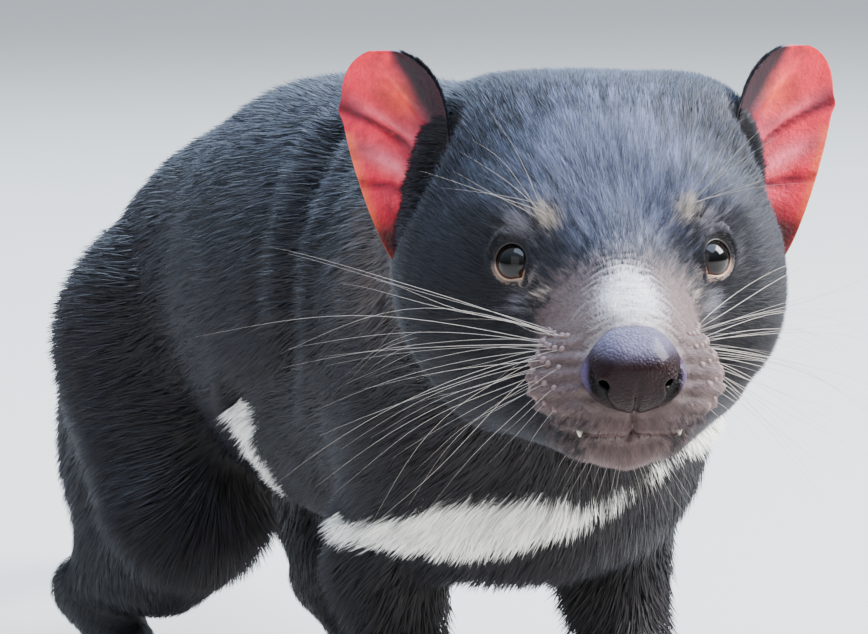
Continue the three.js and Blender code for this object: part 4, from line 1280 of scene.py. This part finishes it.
def lay_hairs(name, base, normal, lie, length, width, lift, parts, colours, sheet, material, rng):
    """Blades of one triangle, or of two that meet at the hair's widest place. A place along a
    hair is root + length (share sqrt(1 - lift^2) lie + share lift normal). Each blade has its own
    small patch of the sheet."""
    count = len(base)
    roll = rng.normal(0, 0.5, count)[:, None]
    across = np.cross(lie, normal)
    half = (width / 2)[:, None] * unit(across * np.cos(roll) + normal * np.sin(roll))
    level = np.sqrt(np.maximum(1 - lift**2, 0.1))[:, None]
    long, lift = length[:, None], lift[:, None]
    tip = base + long * (level * lie + TIP_UP * lift * normal)
    low, mid, high = colours
    if parts == 1:
        rows, shades = [base - half, base + half, tip], [low, low, high]
        faces, patch = [[0, 1, 2]], [(-1, -1), (1, -1), (0, 1)]
    else:
        middle = base + long * (MIDDLE_ALONG * level * lie + MIDDLE_UP * lift * normal)
        rows, shades = [base, middle - half, middle + half, tip], [low, mid, mid, high]
        faces, patch = [[0, 2, 1], [1, 2, 3]], [(0, -1), (-1, 0), (1, 0), (0, 1)]
    blades, shades = np.stack(rows, 1), np.stack(shades, 1)
    blades[..., 2] = np.maximum(blades[..., 2], FLOOR_GAP)
    uv = sheet[:, None] + UV_PATCH / 2 * np.array(patch)
    fur = new_mesh(
        name, blades.reshape(-1, 3), repeat_faces(np.array(faces), count, len(rows)), material,
        colours=shades.reshape(-1, 3), uv=np.clip(uv, 0.001, 0.999).reshape(-1, 2),
    )
    finish_piece(fur, "coat")


def density(h, face):
    """Relative count of hairs to an area: none in the eyes, nose and lips and on the soles,
    more where they are short."""
    m = mirror(h)
    _, y, z = parts_of(h)
    edge, depth = almond(m, face)
    bare = np.where((depth > 0) & (edge < 12), edge, 12)
    low = blend(0, 1, (EYE_AT[2] + 1 - z) / 4)
    grow = 1.0 + 1.6 * face_share(h)
    grow = grow * blend(0, 1, (bare + 0.2 - 0.7 * low) / 0.9) * (1 + 1.5 * fall(bare, 2, 3))
    grow = grow * np.where(y > 20, 0.5 + 0.5 * rise(ear_hollow(m), 1, 3), 1)
    grow = grow * rise(nose_masses(h), 0.4, 1.2)
    grow = grow * np.where(y < MOUTH_CORNER_Y, rise(mouth_distance(m), 0.9, 1.2), 1)
    return grow * (to_body(h)[:, 2] > 2.0) + 1e-9


def tangent_noise(p, normal):
    """Slow uneven swirl of the lie, along the skin."""
    swirl = np.stack([soft_noise(p, 37), soft_noise(p + 91, 41), soft_noise(p + 57, 33)], -1)
    return swirl - (swirl * normal).sum(-1, keepdims=True) * normal


# Eyes and lids
class DEVIL_OT_eyes(bpy.types.Operator):
    """Eyeballs with a dark iris under a wet cornea, and the rims of the lids"""

    bl_idname = "devil.eyes"
    bl_label = "Eyes"

    def execute(self, context):
        face = context.scene.devil_face
        for name, side in NAMED_SIDES:
            ahead, out, up = eye_axes(side)
            centre = flip(EYE_AT, side)
            points, quads = ball_grid(96, 64)
            bulge = 0.5 * np.exp(-((np.arccos(np.clip(points[:, 2], -1, 1)) / 0.62) ** 4))
            local = points * (face.eye_radius / MM + bulge)[:, None]
            placed = centre + local[:, :1] * out + local[:, 1:2] * up + local[:, 2:] * ahead
            material = eye_material(name, to_frame(to_body(centre)), ahead @ HEAD_TURNED.T, face)
            if np.linalg.det(np.stack([out, up, ahead])) < 0:
                quads = quads[:, ::-1]
            eye = new_mesh(f"eyeball_{name}", to_body(placed), quads, material)
            finish_piece(eye, "eye", f"eye_{name}")
        build_lids(face)
        return {"FINISHED"}


def eye_material(name, centre, ahead, face):
    """Black pupil, dark brown iris streaked outwards and a wet clear coat. The share of the
    radius along the gaze picks the tone, and the part under the brow is shaded."""
    # Wet cornea: a mirror-smooth film over a dull dark ball.
    material, tree, shader = new_material(
        f"wet_eye_{name}", Roughness=0.12, IOR=1.38, Specular_IOR_Level=0.1, Coat_Weight=0.9,
        Coat_IOR=1.4, Coat_Roughness=0.02,
    )
    place = add_node(tree, "ShaderNodeTexCoord").outputs["Object"]
    off = add_node(
        tree, "ShaderNodeVectorMath", [(0, place)], operation="SUBTRACT", **{"1": tuple(centre)}
    ).outputs[0]
    toward = add_node(
        tree, "ShaderNodeVectorMath", [(0, off)], operation="DOT_PRODUCT", **{"1": tuple(ahead)}
    )
    share = add_node(
        tree, "ShaderNodeMath", [(0, toward.outputs["Value"])], operation="DIVIDE",
        **{"1": face.eye_radius},
    )
    ramp = add_node(tree, "ShaderNodeValToRGB", [("Fac", share.outputs[0])])
    iris = np.array(face.iris)
    stops = (
        (0.0, EYE_WHITE), (0.62, IRIS_RING), (0.72, iris * 0.4), (0.82, iris), (0.9, iris * 0.6),
        (0.94, PUPIL),
    )
    elements = ramp.color_ramp.elements
    while len(elements) < len(stops):
        elements.new(0.5)
    for element, (at, colour) in zip(elements, stops):
        element.position = at
        element.color = (*colour, 1)
    height = add_node(tree, "ShaderNodeSeparateXYZ", [("Vector", off)]).outputs["Z"]
    levels = []
    for source, low, high, at_low, at_high in (
        (object_noise(tree, 1.2, detail=5), 0.3, 0.7, 0.6, 1.5),
        (height, -4 * MM, 1.5 * MM, 1.3, 0.1),
    ):
        level = add_node(
            tree, "ShaderNodeMapRange", [("Value", source)],
            **{"From Min": low, "From Max": high, "To Min": at_low, "To Max": at_high},
        )
        levels.append((len(levels), level.outputs[0]))
    both = add_node(tree, "ShaderNodeMath", levels, operation="MULTIPLY")
    mixed = add_node(
        tree, "ShaderNodeVectorMath", [(0, ramp.outputs["Color"]), ("Scale", both.outputs[0])],
        operation="SCALE",
    )
    tree.links.new(mixed.outputs[0], shader.inputs["Base Color"])
    return material


def build_lids(face, count=96, sides=10):
    """The lid's rim: a round strip along the almond's edge, just over the eyeball."""
    # Moist bare skin: half glossy under a thin film of tears.
    material, _, _ = tinted_material(
        "moist_lid_rim", 0.12, 0.8, Roughness=0.38, Subsurface_Weight=0.1, Subsurface_Scale=0.002,
        Coat_Weight=0.25,
    )
    angle = TAU * np.arange(count) / count
    half, radius = face.lid_half_width / MM, face.eye_radius / MM
    reach = np.full(count, half)
    for _ in range(12):
        reach = reach - 0.7 * lid_edge(reach * np.cos(angle), reach * np.sin(angle), face)
    u, v = reach * np.cos(angle), reach * np.sin(angle)
    for name, side in NAMED_SIDES:
        ahead, out, up = eye_axes(side)
        way = unit(radius * ahead + u[:, None] * out + v[:, None] * up)
        line = flip(EYE_AT, side) + way * (radius + 0.4)
        heading = unit(np.roll(line, -1, 0) - np.roll(line, 1, 0))
        outward = level_with(unit(line - line.mean(0)), heading)
        thickness = 0.32 + 0.16 * np.clip(-v / half, 0, 1)
        points = circles(line, thickness, outward, np.cross(heading, outward), sides)
        quads = ring_quads(count, sides, closed=True)[:, [0, 3, 2, 1]]
        tone = mix(LID_RIM_TOP, face.lid, np.repeat(blend(0, 1, (1 - v) / 4), sides))
        if side < 0:
            quads = quads[:, ::-1]
        places = to_body(points.reshape(-1, 3))
        finish_piece(new_mesh(f"lids_{name}", places, quads, material, colours=tone), "eye")


# Nose
class DEVIL_OT_nose(bpy.types.Operator):
    """Bare wet nose with its nostrils"""

    bl_idname = "devil.nose"
    bl_label = "Nose"

    def execute(self, context):
        face = context.scene.devil_face
        step = 0.45
        axes = [graded(stops, (step,)) for stops in ((-23, 23), (-75, -40), (-42, 0))]
        values = nose_field(np.stack(np.meshgrid(*axes, indexing="ij"), -1).reshape(-1, 3))
        points, quads = surface_net(values.reshape([len(a) for a in axes]), axes)
        points = settle(nose_field, points, longest=0.3)
        # Wet leathery skin of small flat cells, about 0.9 mm across.
        material, tree, shader = tinted_material(
            "wet_nose_leather", 0.25, 0.4, Roughness=0.28, IOR=1.4, Specular_IOR_Level=0.1,
            Coat_Weight=0.17, Coat_Roughness=0.1,
        )
        place = add_node(tree, "ShaderNodeTexCoord").outputs["Object"]
        cells = add_node(tree, "ShaderNodeTexVoronoi", [("Vector", place)], Scale=1 / (0.9 * MM))
        height = add_node(
            tree, "ShaderNodeMath", [(0, cells.outputs["Distance"])], operation="POWER",
            **{"1": 1.5},
        )
        grain(tree, shader, height.outputs[0], -0.4, 0.9)
        x, y, z = parts_of(points)
        side = np.abs(x)
        tone = np.broadcast_to(np.array(face.nose), points.shape)
        # Painted reflection of the sky on the nose's top, and painted violet glints on its sides.
        tone = mix(tone, NOSE_TOP_REFLECTION, rise(z, -19, 7) * 0.7)
        tone = mix(tone, NOSE_SIDE_GLINT, 0.5 * rise(side, 13, 4))
        # Painted shade inside the nostrils, darker the deeper they go.
        inside = blend(0, 1, (-nose_solid(mirror(points)) - 0.4) / 1.0) * (y < -52)
        tone = mix(tone, NOSTRIL_SHADE, inside * (side > 5))
        nose = new_mesh("nose_leather", to_body(points), quads, material, colours=tone)
        finish_piece(nose, "nose", "nose_pad")
        return {"FINISHED"}


# Ears
class DEVIL_OT_ears(bpy.types.Operator):
    """Cupped ears: bare folded skin inside, furred behind and at the rim"""

    bl_idname = "devil.ears"
    bl_label = "Ears"

    def execute(self, context):
        coat, face = context.scene.devil_coat, context.scene.devil_face
        # Thin skin full of blood: light passes a little way through it.
        material, tree, shader = tinted_material(
            "ear_skin", 0.3, 0.25, Roughness=0.5, Subsurface_Weight=0.3, Subsurface_Scale=0.004
        )
        grain(tree, shader, object_noise(tree, 0.8, detail=4), 0.5)
        rng = np.random.default_rng(EAR_SEED)
        for name, side in NAMED_SIDES:
            points, quads, colours = ear_sheet(side, coat, face)
            ear = new_mesh(f"ear_skin_{name}", to_body(points), quads, material, colours=colours)
            finish_piece(ear, "ear", f"ear_{name}")
            ear_fur(f"ear_fur_{name}", points, quads, side, coat, rng)
        return {"FINISHED"}


def ear_sheet(side, coat, face, rings=56, half=EAR_COLUMNS):
    """The leaf's front and back skins. Width over height is half_width (t + 0.05)^swell
    sqrt(1 - t^round); the middle lies behind the edges by cup (1 - s^2); folds are ridges
    across the front. Points go round each ring, front then back."""
    up, front, across = ear_frame(side)
    t = 0.985 * np.sin(np.pi * np.arange(rings + 1) / rings / 2)
    width = EAR["half_width"] * (t + 0.05) ** EAR["swell"] * np.sqrt(1 - t ** EAR["tip_round"])
    cup = EAR["cup"] * width * (EAR["cup_at_foot"] - EAR["cup_loss"] * t) / EAR["half_width"]
    t = t[:, None]
    n = 2 * half
    s = np.cos(np.pi * (np.arange(n) + 0.5) / half)[None]
    is_front = (np.arange(n) < half)[None]
    full = 1 - s * s
    folds = ear_folds(s, t)
    behind = np.maximum(2.2, 1.0 - folds) * full
    skin = np.where(is_front, EAR["rim"] / 2 + folds * full, -EAR["rim"] / 2 - behind)
    depth = -cup[:, None] * full + skin
    pouch = 1 + 0.07 * bell((t - 0.70) / 0.035) * (s > 0.5)
    points = (
        flip(EAR["foot"], side) + EAR["height"] * t[..., None] * up
        + (width[:, None] * s * pouch)[..., None] * across + depth[..., None] * front
    )
    k = np.arange(half - 1)
    lid = rings * n
    top = np.stack([lid + k, lid + k + 1, lid + n - 2 - k, lid + n - 1 - k], -1)
    low = np.stack([k + 1, k, n - 1 - k, n - 2 - k], -1)
    quads = np.concatenate([ring_quads(rings + 1, n), top, low])
    tone = ear_colours(*np.broadcast_arrays(s, t, is_front), coat, face)
    return points.reshape(-1, 3), quads[:, ::side], tone.reshape(-1, 3)


def ear_mark(s, t, place, tilt, wide, reach=None):
    """1 along a line across the ear at a height that tilts with s, or round a point."""
    line = bell((t - place[1] - tilt * (s - place[0])) / wide)
    return line if reach is None else line * bell((s - place[0]) / reach)


def ear_folds(s, t):
    """Ridges and creases inside the ear, rising from its inner base to its outer edge, lobes
    below and the hollow of the ear canal at its inner side, in millimetres. s is 1 at the outer
    edge and -1 at the inner one, t is 0 at the foot and 1 at the tip."""
    outer = rise(s, -0.15, 0.4)
    folds = 0
    for height, *form in EAR_FOLDS:
        folds = folds + height * ear_mark(s, t, *form) * (outer if form[-1] is None else 1)
    return folds


def ear_colours(s, t, front, coat, face):
    """Red-pink inside, with a painted orange glow of light high up and along the outer edge, painted
    light that makes the lobes palest, and painted shade in the creases and the canal.
    The upper inner border and the back are furred and dark, the outer edge is bare."""
    red = np.broadcast_to(np.array(face.ear), (*t.shape, 3))
    # Painted glow of light through the ear high up, and painted light on its lobe and ridge.
    layers = [(tone, amount * ear_mark(s, t, *form)) for tone, amount, form in EAR_PAINTED_GLOWS]
    # Painted glow of light through the thin outer edge.
    layers.append((EAR_EDGE_GLOW, 0.6 * rise(s, 0.8, 0.2) * (t < 0.6)))
    layers.append((EAR_TUCK[0], EAR_TUCK[1] * ear_mark(s, t, *EAR_TUCK[2])))
    for tone, share in layers:
        red = mix(red, tone, share)
    red = red * (1 + 0.3 * np.sin(9 * t + 4 * s) * np.sin(17 * t - 5 * s))[..., None].clip(0.6, 1.3)
    creases = [ear_mark(s, t, *form) for height, *form in EAR_FOLDS if height < 0 and not form[-1]]
    inner = blend(0, 1, (0.3 - s + 0.12 * np.sin(23 * t + 3 * s)) / 0.8)
    for tone, share in (
        # Painted shade in the creases and the ear canal.
        (EAR_CREASE_SHADE, sum(creases) * 0.9 * rise(s, -0.4, 0.3)),
        (EAR_CANAL_SHADE, 0.9 * ear_mark(s, t, (-0.55, 0.42), 0, 0.09, 0.3)),
        (EAR_FOOT, fall(t, 0.12, 0.16)),
        (EAR_INNER, 0.75 * inner),
    ):
        red = mix(red, tone, share)
    dark = np.broadcast_to(np.array(coat.black), (*t.shape, 3)) * (1.6, 1.2, 1.6)
    border = -0.66 + 0.42 * rise(t, 0.62, 0.3) + 0.05 * np.sin(31 * t) * np.sin(13 * t)
    return mix(dark, red, front * blend(0, 1, (s - border + 0.05) / 0.4))


def ear_fur(name, points, quads, side, coat, rng):
    """Short hairs on the back and the upper inner border of the ear, pointing up to its tip."""
    count = EAR_HAIRS
    corners = points[quads]
    cross = diagonals_cross(corners)
    normal = unit(cross)
    up, front, across = ear_frame(side)
    off = corners.mean(1) - flip(EAR["foot"], side)
    height, out = off @ up / EAR["height"], off @ across
    border = -10 + 12 * rise(height, 0.62, 0.3)
    inside = quads[:, 0] % (2 * EAR_COLUMNS) < EAR_COLUMNS
    wanted = np.where(inside, 2.4 * blend(1, 0, (out - border + 2) / 6), normal @ front < -0.2)
    weight = np.linalg.norm(cross, axis=-1) * wanted * (height > 0.12) * (out < 19)
    pick, between = scatter(corners, weight, count, rng)
    root = between(corners[pick])
    normal, out, height, inner = normal[pick], out[pick], height[pick], inside[pick]
    lie = unit(up + 0.3 * across * np.sign(out)[:, None] + rng.normal(0, 0.2, (count, 3)))
    lie = level_with(lie, normal)
    base = np.array(coat.black) * rng.normal(1, 0.2, (count, 1)).clip(0.5, 1.7)
    tip_frost_and_sheen = mix(base * 1.4, coat.silver_tips_and_sheen, rng.random(count) ** 3 * 0.5)
    angle = 0.5 + np.arctan2(out, (root - flip(EAR["foot"], side)) @ front) / TAU
    sheet = np.stack([0.02 + 0.9 * angle, 0.02 + 0.9 * np.clip(height, 0, 1)], -1)
    turned = [v @ HEAD_TURNED.T for v in (normal, lie)]
    lay_hairs(
        name, to_body(root), *turned, rng.uniform(*EAR_HAIR_LENGTHS, count) * np.where(inner, 0.7, 1),
        np.full(count, EAR_HAIR_WIDTH * (1)),
        rng.uniform(*EAR_HAIR_LIFTS, count) * np.where(inner, 0.5, 1), 2,
        (base * 0.6, base, tip_frost_and_sheen), sheet, bpy.data.materials["guard_hair"], rng,
    )


# Whiskers, teeth and claws
def pad_whiskers(side, rng):
    """Root, way, length and droop of the lip's whiskers: five rows of seven fan out from the
    pad, the rear ones longest."""
    for row in range(5):
        for column in range(7):
            turned, tip_up = math.radians(-62 + 10 * column), math.radians(33 - 14 * row + column)
            level = math.cos(tip_up)
            aim = np.array((math.cos(turned) * level, math.sin(turned) * level, math.sin(tip_up)))
            up = math.radians(16 - 13 * row + rng.normal(0, 4))
            sweep = math.radians(-26 + 12 * column + rng.normal(0, 6))
            way = np.array((math.cos(sweep) * math.cos(up), math.sin(sweep), math.sin(up)))
            length = (30 + 18 * column) * rng.uniform(0.75, 1.1) * (1 - 0.08 * row)
            root = flip(np.array(PAD_MIDDLE) + PAD_REACH * aim, side)
            yield root, flip(way, side), length * WHISKER_SHARE[side], rng.uniform(0.05, 0.38)


def other_whiskers(side, rng):
    """The same for the whiskers of brow, cheek and chin."""
    spot = to_head(np.array(BROW_SPOTS[side > 0]))
    for group in (BROW_WHISKERS, CHEEK_WHISKERS, CHIN_WHISKERS):
        count, start, step, way, swing, least, most, droop = group
        for k in range(count):
            if start is None:
                root = spot + rng.uniform(-BROW_SPREAD, BROW_SPREAD, 3)
            else:
                root = flip(np.array(start) + k * np.array(step), side)
            heading = flip(unit(np.array(way) + k * np.array(swing)), side)
            yield root, heading, rng.uniform(least, most), droop


class DEVIL_OT_whiskers(bpy.types.Operator):
    """Long pale whiskers of the lip, brow, cheek and chin"""

    bl_idname = "devil.whiskers"
    bl_label = "Whiskers"

    def execute(self, context):
        face = context.scene.devil_face
        rng = np.random.default_rng(WHISKER_SEED)
        plan = []
        for side in SIDES:
            plan += pad_whiskers(side, rng)
            plan += other_whiskers(side, rng)
        roots, ways, lengths, droops = (np.array(values) for values in zip(*plan))
        roots = settle_onto_skin(roots)
        t = np.linspace(0, 1, 14)[None, :, None]
        long = lengths[:, None, None]
        sag = droops[:, None, None] * long * t**2
        wave = rng.normal(0, 0.03, (len(roots), 1, 3)) * long * np.sin(t * 4.5)
        paths = roots[:, None] + ways[:, None] * long * t + wave * t
        paths = paths + sag * np.array((0, 0.5, -1.0))
        width = face.whisker_width / MM / 2
        taper = (1 - 0.85 * t[..., 0]) * width * np.clip(lengths / 70, 0.55, 1)[:, None]
        points, faces = tubes(paths, taper, 5)
        # Keratin: stiff, pale and half glossy.
        material, _, _ = new_material("whisker_keratin", face.whisker, Roughness=0.35)
        finish_piece(new_mesh("whiskers", to_body(points), faces, material), "muzzle")
        whisker_roots(roots, face)
        return {"FINISHED"}


def settle_onto_skin(p):
    """Each root moved to the skin: straight in to the pad for those far outside it, else to the
    nearest point."""
    points, _, _ = STATE["skin"]
    near = points[points[:, 1] < 80]
    found = []
    for q in p:
        middle = flip(PAD_MIDDLE, np.sign(q[0]))
        if abs(np.linalg.norm(q - middle) - PAD_REACH) < 0.5:
            aim = unit(q - middle)
            off = near - middle
            along = off @ aim
            away = ((off - along[:, None] * aim) ** 2).sum(1) + 1e3 * (along < 0)
        else:
            away = ((near - q) ** 2).sum(1)
        found.append(near[away.argmin()])
    return np.array(found, float)


def whisker_roots(roots, face):
    """Low pale domes where the whiskers leave the pads."""
    pad = roots[(roots[:, 1] < -14) & (roots[:, 2] < -8) & (roots[:, 2] > -46)]
    ball, quads = ball_grid(12, 8)
    size = 0.95 + 0.35 * np.abs(np.sin(np.arange(len(pad)) * 2.3))
    points = (pad[:, None] + ball[None] * size[:, None, None]).reshape(-1, 3)
    # Bare skin, paler than the muzzle's.
    material, _, _ = new_material(
        "whisker_root_skin", np.array(face.muzzle) * 1.2, Roughness=0.5, Subsurface_Weight=0.15,
        Subsurface_Scale=0.002,
    )
    quads = repeat_faces(quads, len(pad), len(ball))
    finish_piece(new_mesh("whisker_roots", to_body(points), quads, material), "muzzle")


class DEVIL_OT_claws(bpy.types.Operator):
    """Claws on every toe and the tips of the upper canines"""

    bl_idname = "devil.claws"
    bl_label = "Claws and teeth"

    def execute(self, context):
        face = context.scene.devil_face
        t = np.linspace(0, 1, 12)[:, None]
        height = CLAW["lift"] + CLAW["rise"] * t - CLAW["drop"] * t * t
        paths = []
        for _, _, toes in feet():
            for _, tip, ahead in toes:
                start = tip - CLAW["sunk"] * ahead
                paths.append(start + ahead * (CLAW["length"] + CLAW["sunk"]) * t + height * (0, 0, 1.0))
        radii = np.broadcast_to(CLAW["radius"] * (1 - CLAW["taper"] * t[:, 0] ** 1.4), (len(paths), 12))
        points, faces = tubes(np.array(paths), radii, 12)
        # Claw horn: smooth and half glossy, with darker and paler streaks.
        material, tree, shader = new_material("claw_horn", Roughness=0.32, IOR=1.55)
        horn = np.array(face.claw)
        ramp = add_node(
            tree, "ShaderNodeMix", [("Factor", object_noise(tree, 0.9))], data_type="RGBA",
            **{"6": (*(horn * 0.55), 1), "7": (*(horn * 1.3), 1)},
        )
        tree.links.new(ramp.outputs[2], shader.inputs["Base Color"])
        finish_piece(new_mesh("claws", points, faces, material), "paw")
        root, tip, radius = CANINE
        t = np.linspace(0, 1, 14)
        lines = []
        for side in SIDES:
            a, b = flip(root, side), flip(tip, side)
            lines.append(a + (b - a) * t[:, None] + np.array((0, 1.6, 0)) * (t * (1 - t))[:, None])
        radii = np.broadcast_to(radius * np.sqrt(np.maximum(1 - t**2, 0.02)), (2, 14))
        points, faces = tubes(np.array(lines), radii, 16)
        # Enamel: hard, glossy and faintly translucent.
        material, _, _ = new_material(
            "tooth_enamel", ENAMEL, Roughness=0.22, IOR=1.62, Subsurface_Weight=0.1
        )
        finish_piece(new_mesh("canines", to_body(points), faces, material), "muzzle")
        return {"FINISHED"}


# Stage
class DEVIL_OT_stage(bpy.types.Operator):
    """Plain floor, soft light and the camera at the photo's angle"""

    bl_idname = "devil.stage"
    bl_label = "Stage"

    def execute(self, context):
        stage = context.scene.devil_stage
        link = context.scene.collection.objects.link
        mesh = bpy.data.meshes.new("floor")
        size = FLOOR_HALF_SIZE
        corners = [(-size, -size, 0), (size, -size, 0), (size, size, 0), (-size, size, 0)]
        mesh.from_pydata(corners, [], [(0, 1, 2, 3)])
        # Matt studio paper.
        material, _, _ = new_material("plain_floor", stage.floor, Roughness=0.8)
        mesh.materials.append(material)
        floor = bpy.data.objects.new("floor", mesh)
        link(floor)
        eyes = Vector(to_frame(np.array(EYE_MIDPOINT)))
        for name, place, wide, power, colour in LIGHTS:
            data = bpy.data.lights.new(name, "AREA")
            data.size, data.energy, data.color = wide, power, colour
            light = bpy.data.objects.new(name, data)
            link(light)
            light.location = place
            light.rotation_euler = (eyes - Vector(place)).to_track_quat("-Z", "Y").to_euler()
        context.scene.world = soft_sky()
        azimuth, elevation = math.radians(stage.azimuth), math.radians(stage.elevation)
        level = math.cos(elevation)
        back = Vector((math.sin(azimuth) * level, -math.cos(azimuth) * level, math.sin(elevation)))
        data = bpy.data.cameras.new("photo_camera")
        data.lens, data.sensor_width = stage.lens, FILM_WIDTH
        data.clip_start, data.clip_end = 0.05, 50
        camera = bpy.data.objects.new("photo_camera", data)
        link(camera)
        camera.location = eyes + back * stage.distance
        facing = (-back).to_track_quat("-Z", "Y").to_matrix()
        focal = stage.lens / FILM_WIDTH * PHOTO_SIZE[0]
        pan = math.atan((PHOTO_EYES[0] - PHOTO_SIZE[0] / 2) / focal)
        tilt = math.atan((PHOTO_SIZE[1] / 2 - PHOTO_EYES[1]) / focal)
        aim = facing @ Matrix.Rotation(pan, 3, "Y") @ Matrix.Rotation(-tilt, 3, "X")
        camera.rotation_euler = aim.to_euler()
        context.scene.camera = camera
        return {"FINISHED"}


def soft_sky():
    """World that goes from warm grey low down to cool light overhead."""
    world = bpy.data.worlds.new("soft_sky")
    world.use_nodes = True
    sky = world.node_tree
    way = add_node(sky, "ShaderNodeTexCoord").outputs["Generated"]
    parts = add_node(sky, "ShaderNodeSeparateXYZ", [("Vector", way)])
    ramp = add_node(sky, "ShaderNodeValToRGB", [("Fac", parts.outputs["Z"])])
    low, high = ramp.color_ramp.elements
    low.color, high.color = SKY_LOW, SKY_HIGH
    high.position = 0.8
    sky.links.new(ramp.outputs["Color"], sky.nodes["Background"].inputs["Color"])
    sky.nodes["Background"].inputs["Strength"].default_value = 1.0
    return world


class DEVIL_PT_panel(bpy.types.Panel):
    """Lists the steps that build the model"""

    bl_idname = "DEVIL_PT_panel"
    bl_label = "Tasmanian devil"
    bl_space_type = "VIEW_3D"
    bl_region_type = "UI"
    bl_category = "Devil"

    def draw(self, context):
        for operator in OPERATORS:
            self.layout.operator(operator.bl_idname)
        for name in GROUPS:
            group = getattr(context.scene, name)
            column = self.layout.column()
            for key in group.bl_rna.properties.keys():
                if key not in ("rna_type", "name"):
                    column.prop(group, key)


OPERATORS = (
    DEVIL_OT_skin,
    DEVIL_OT_coat,
    DEVIL_OT_eyes,
    DEVIL_OT_nose,
    DEVIL_OT_ears,
    DEVIL_OT_whiskers,
    DEVIL_OT_claws,
    DEVIL_OT_stage,
)
GROUPS = {
    "devil_coat": DevilCoatSettings,
    "devil_face": DevilFaceSettings,
    "devil_stage": DevilStageSettings,
}


def register():
    for item in (*GROUPS.values(), *OPERATORS, DEVIL_PT_panel):
        bpy.utils.register_class(item)
    for name, group in GROUPS.items():
        setattr(bpy.types.Scene, name, PointerProperty(type=group))


def unregister():
    for name in GROUPS:
        delattr(bpy.types.Scene, name)
    for item in reversed((*GROUPS.values(), *OPERATORS, DEVIL_PT_panel)):
        bpy.utils.unregister_class(item)


def main():
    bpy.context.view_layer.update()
    register()
    for operator in OPERATORS:
        group, name = operator.bl_idname.split(".")
        getattr(getattr(bpy.ops, group), name)()


if __name__ == "__main__":
    main()
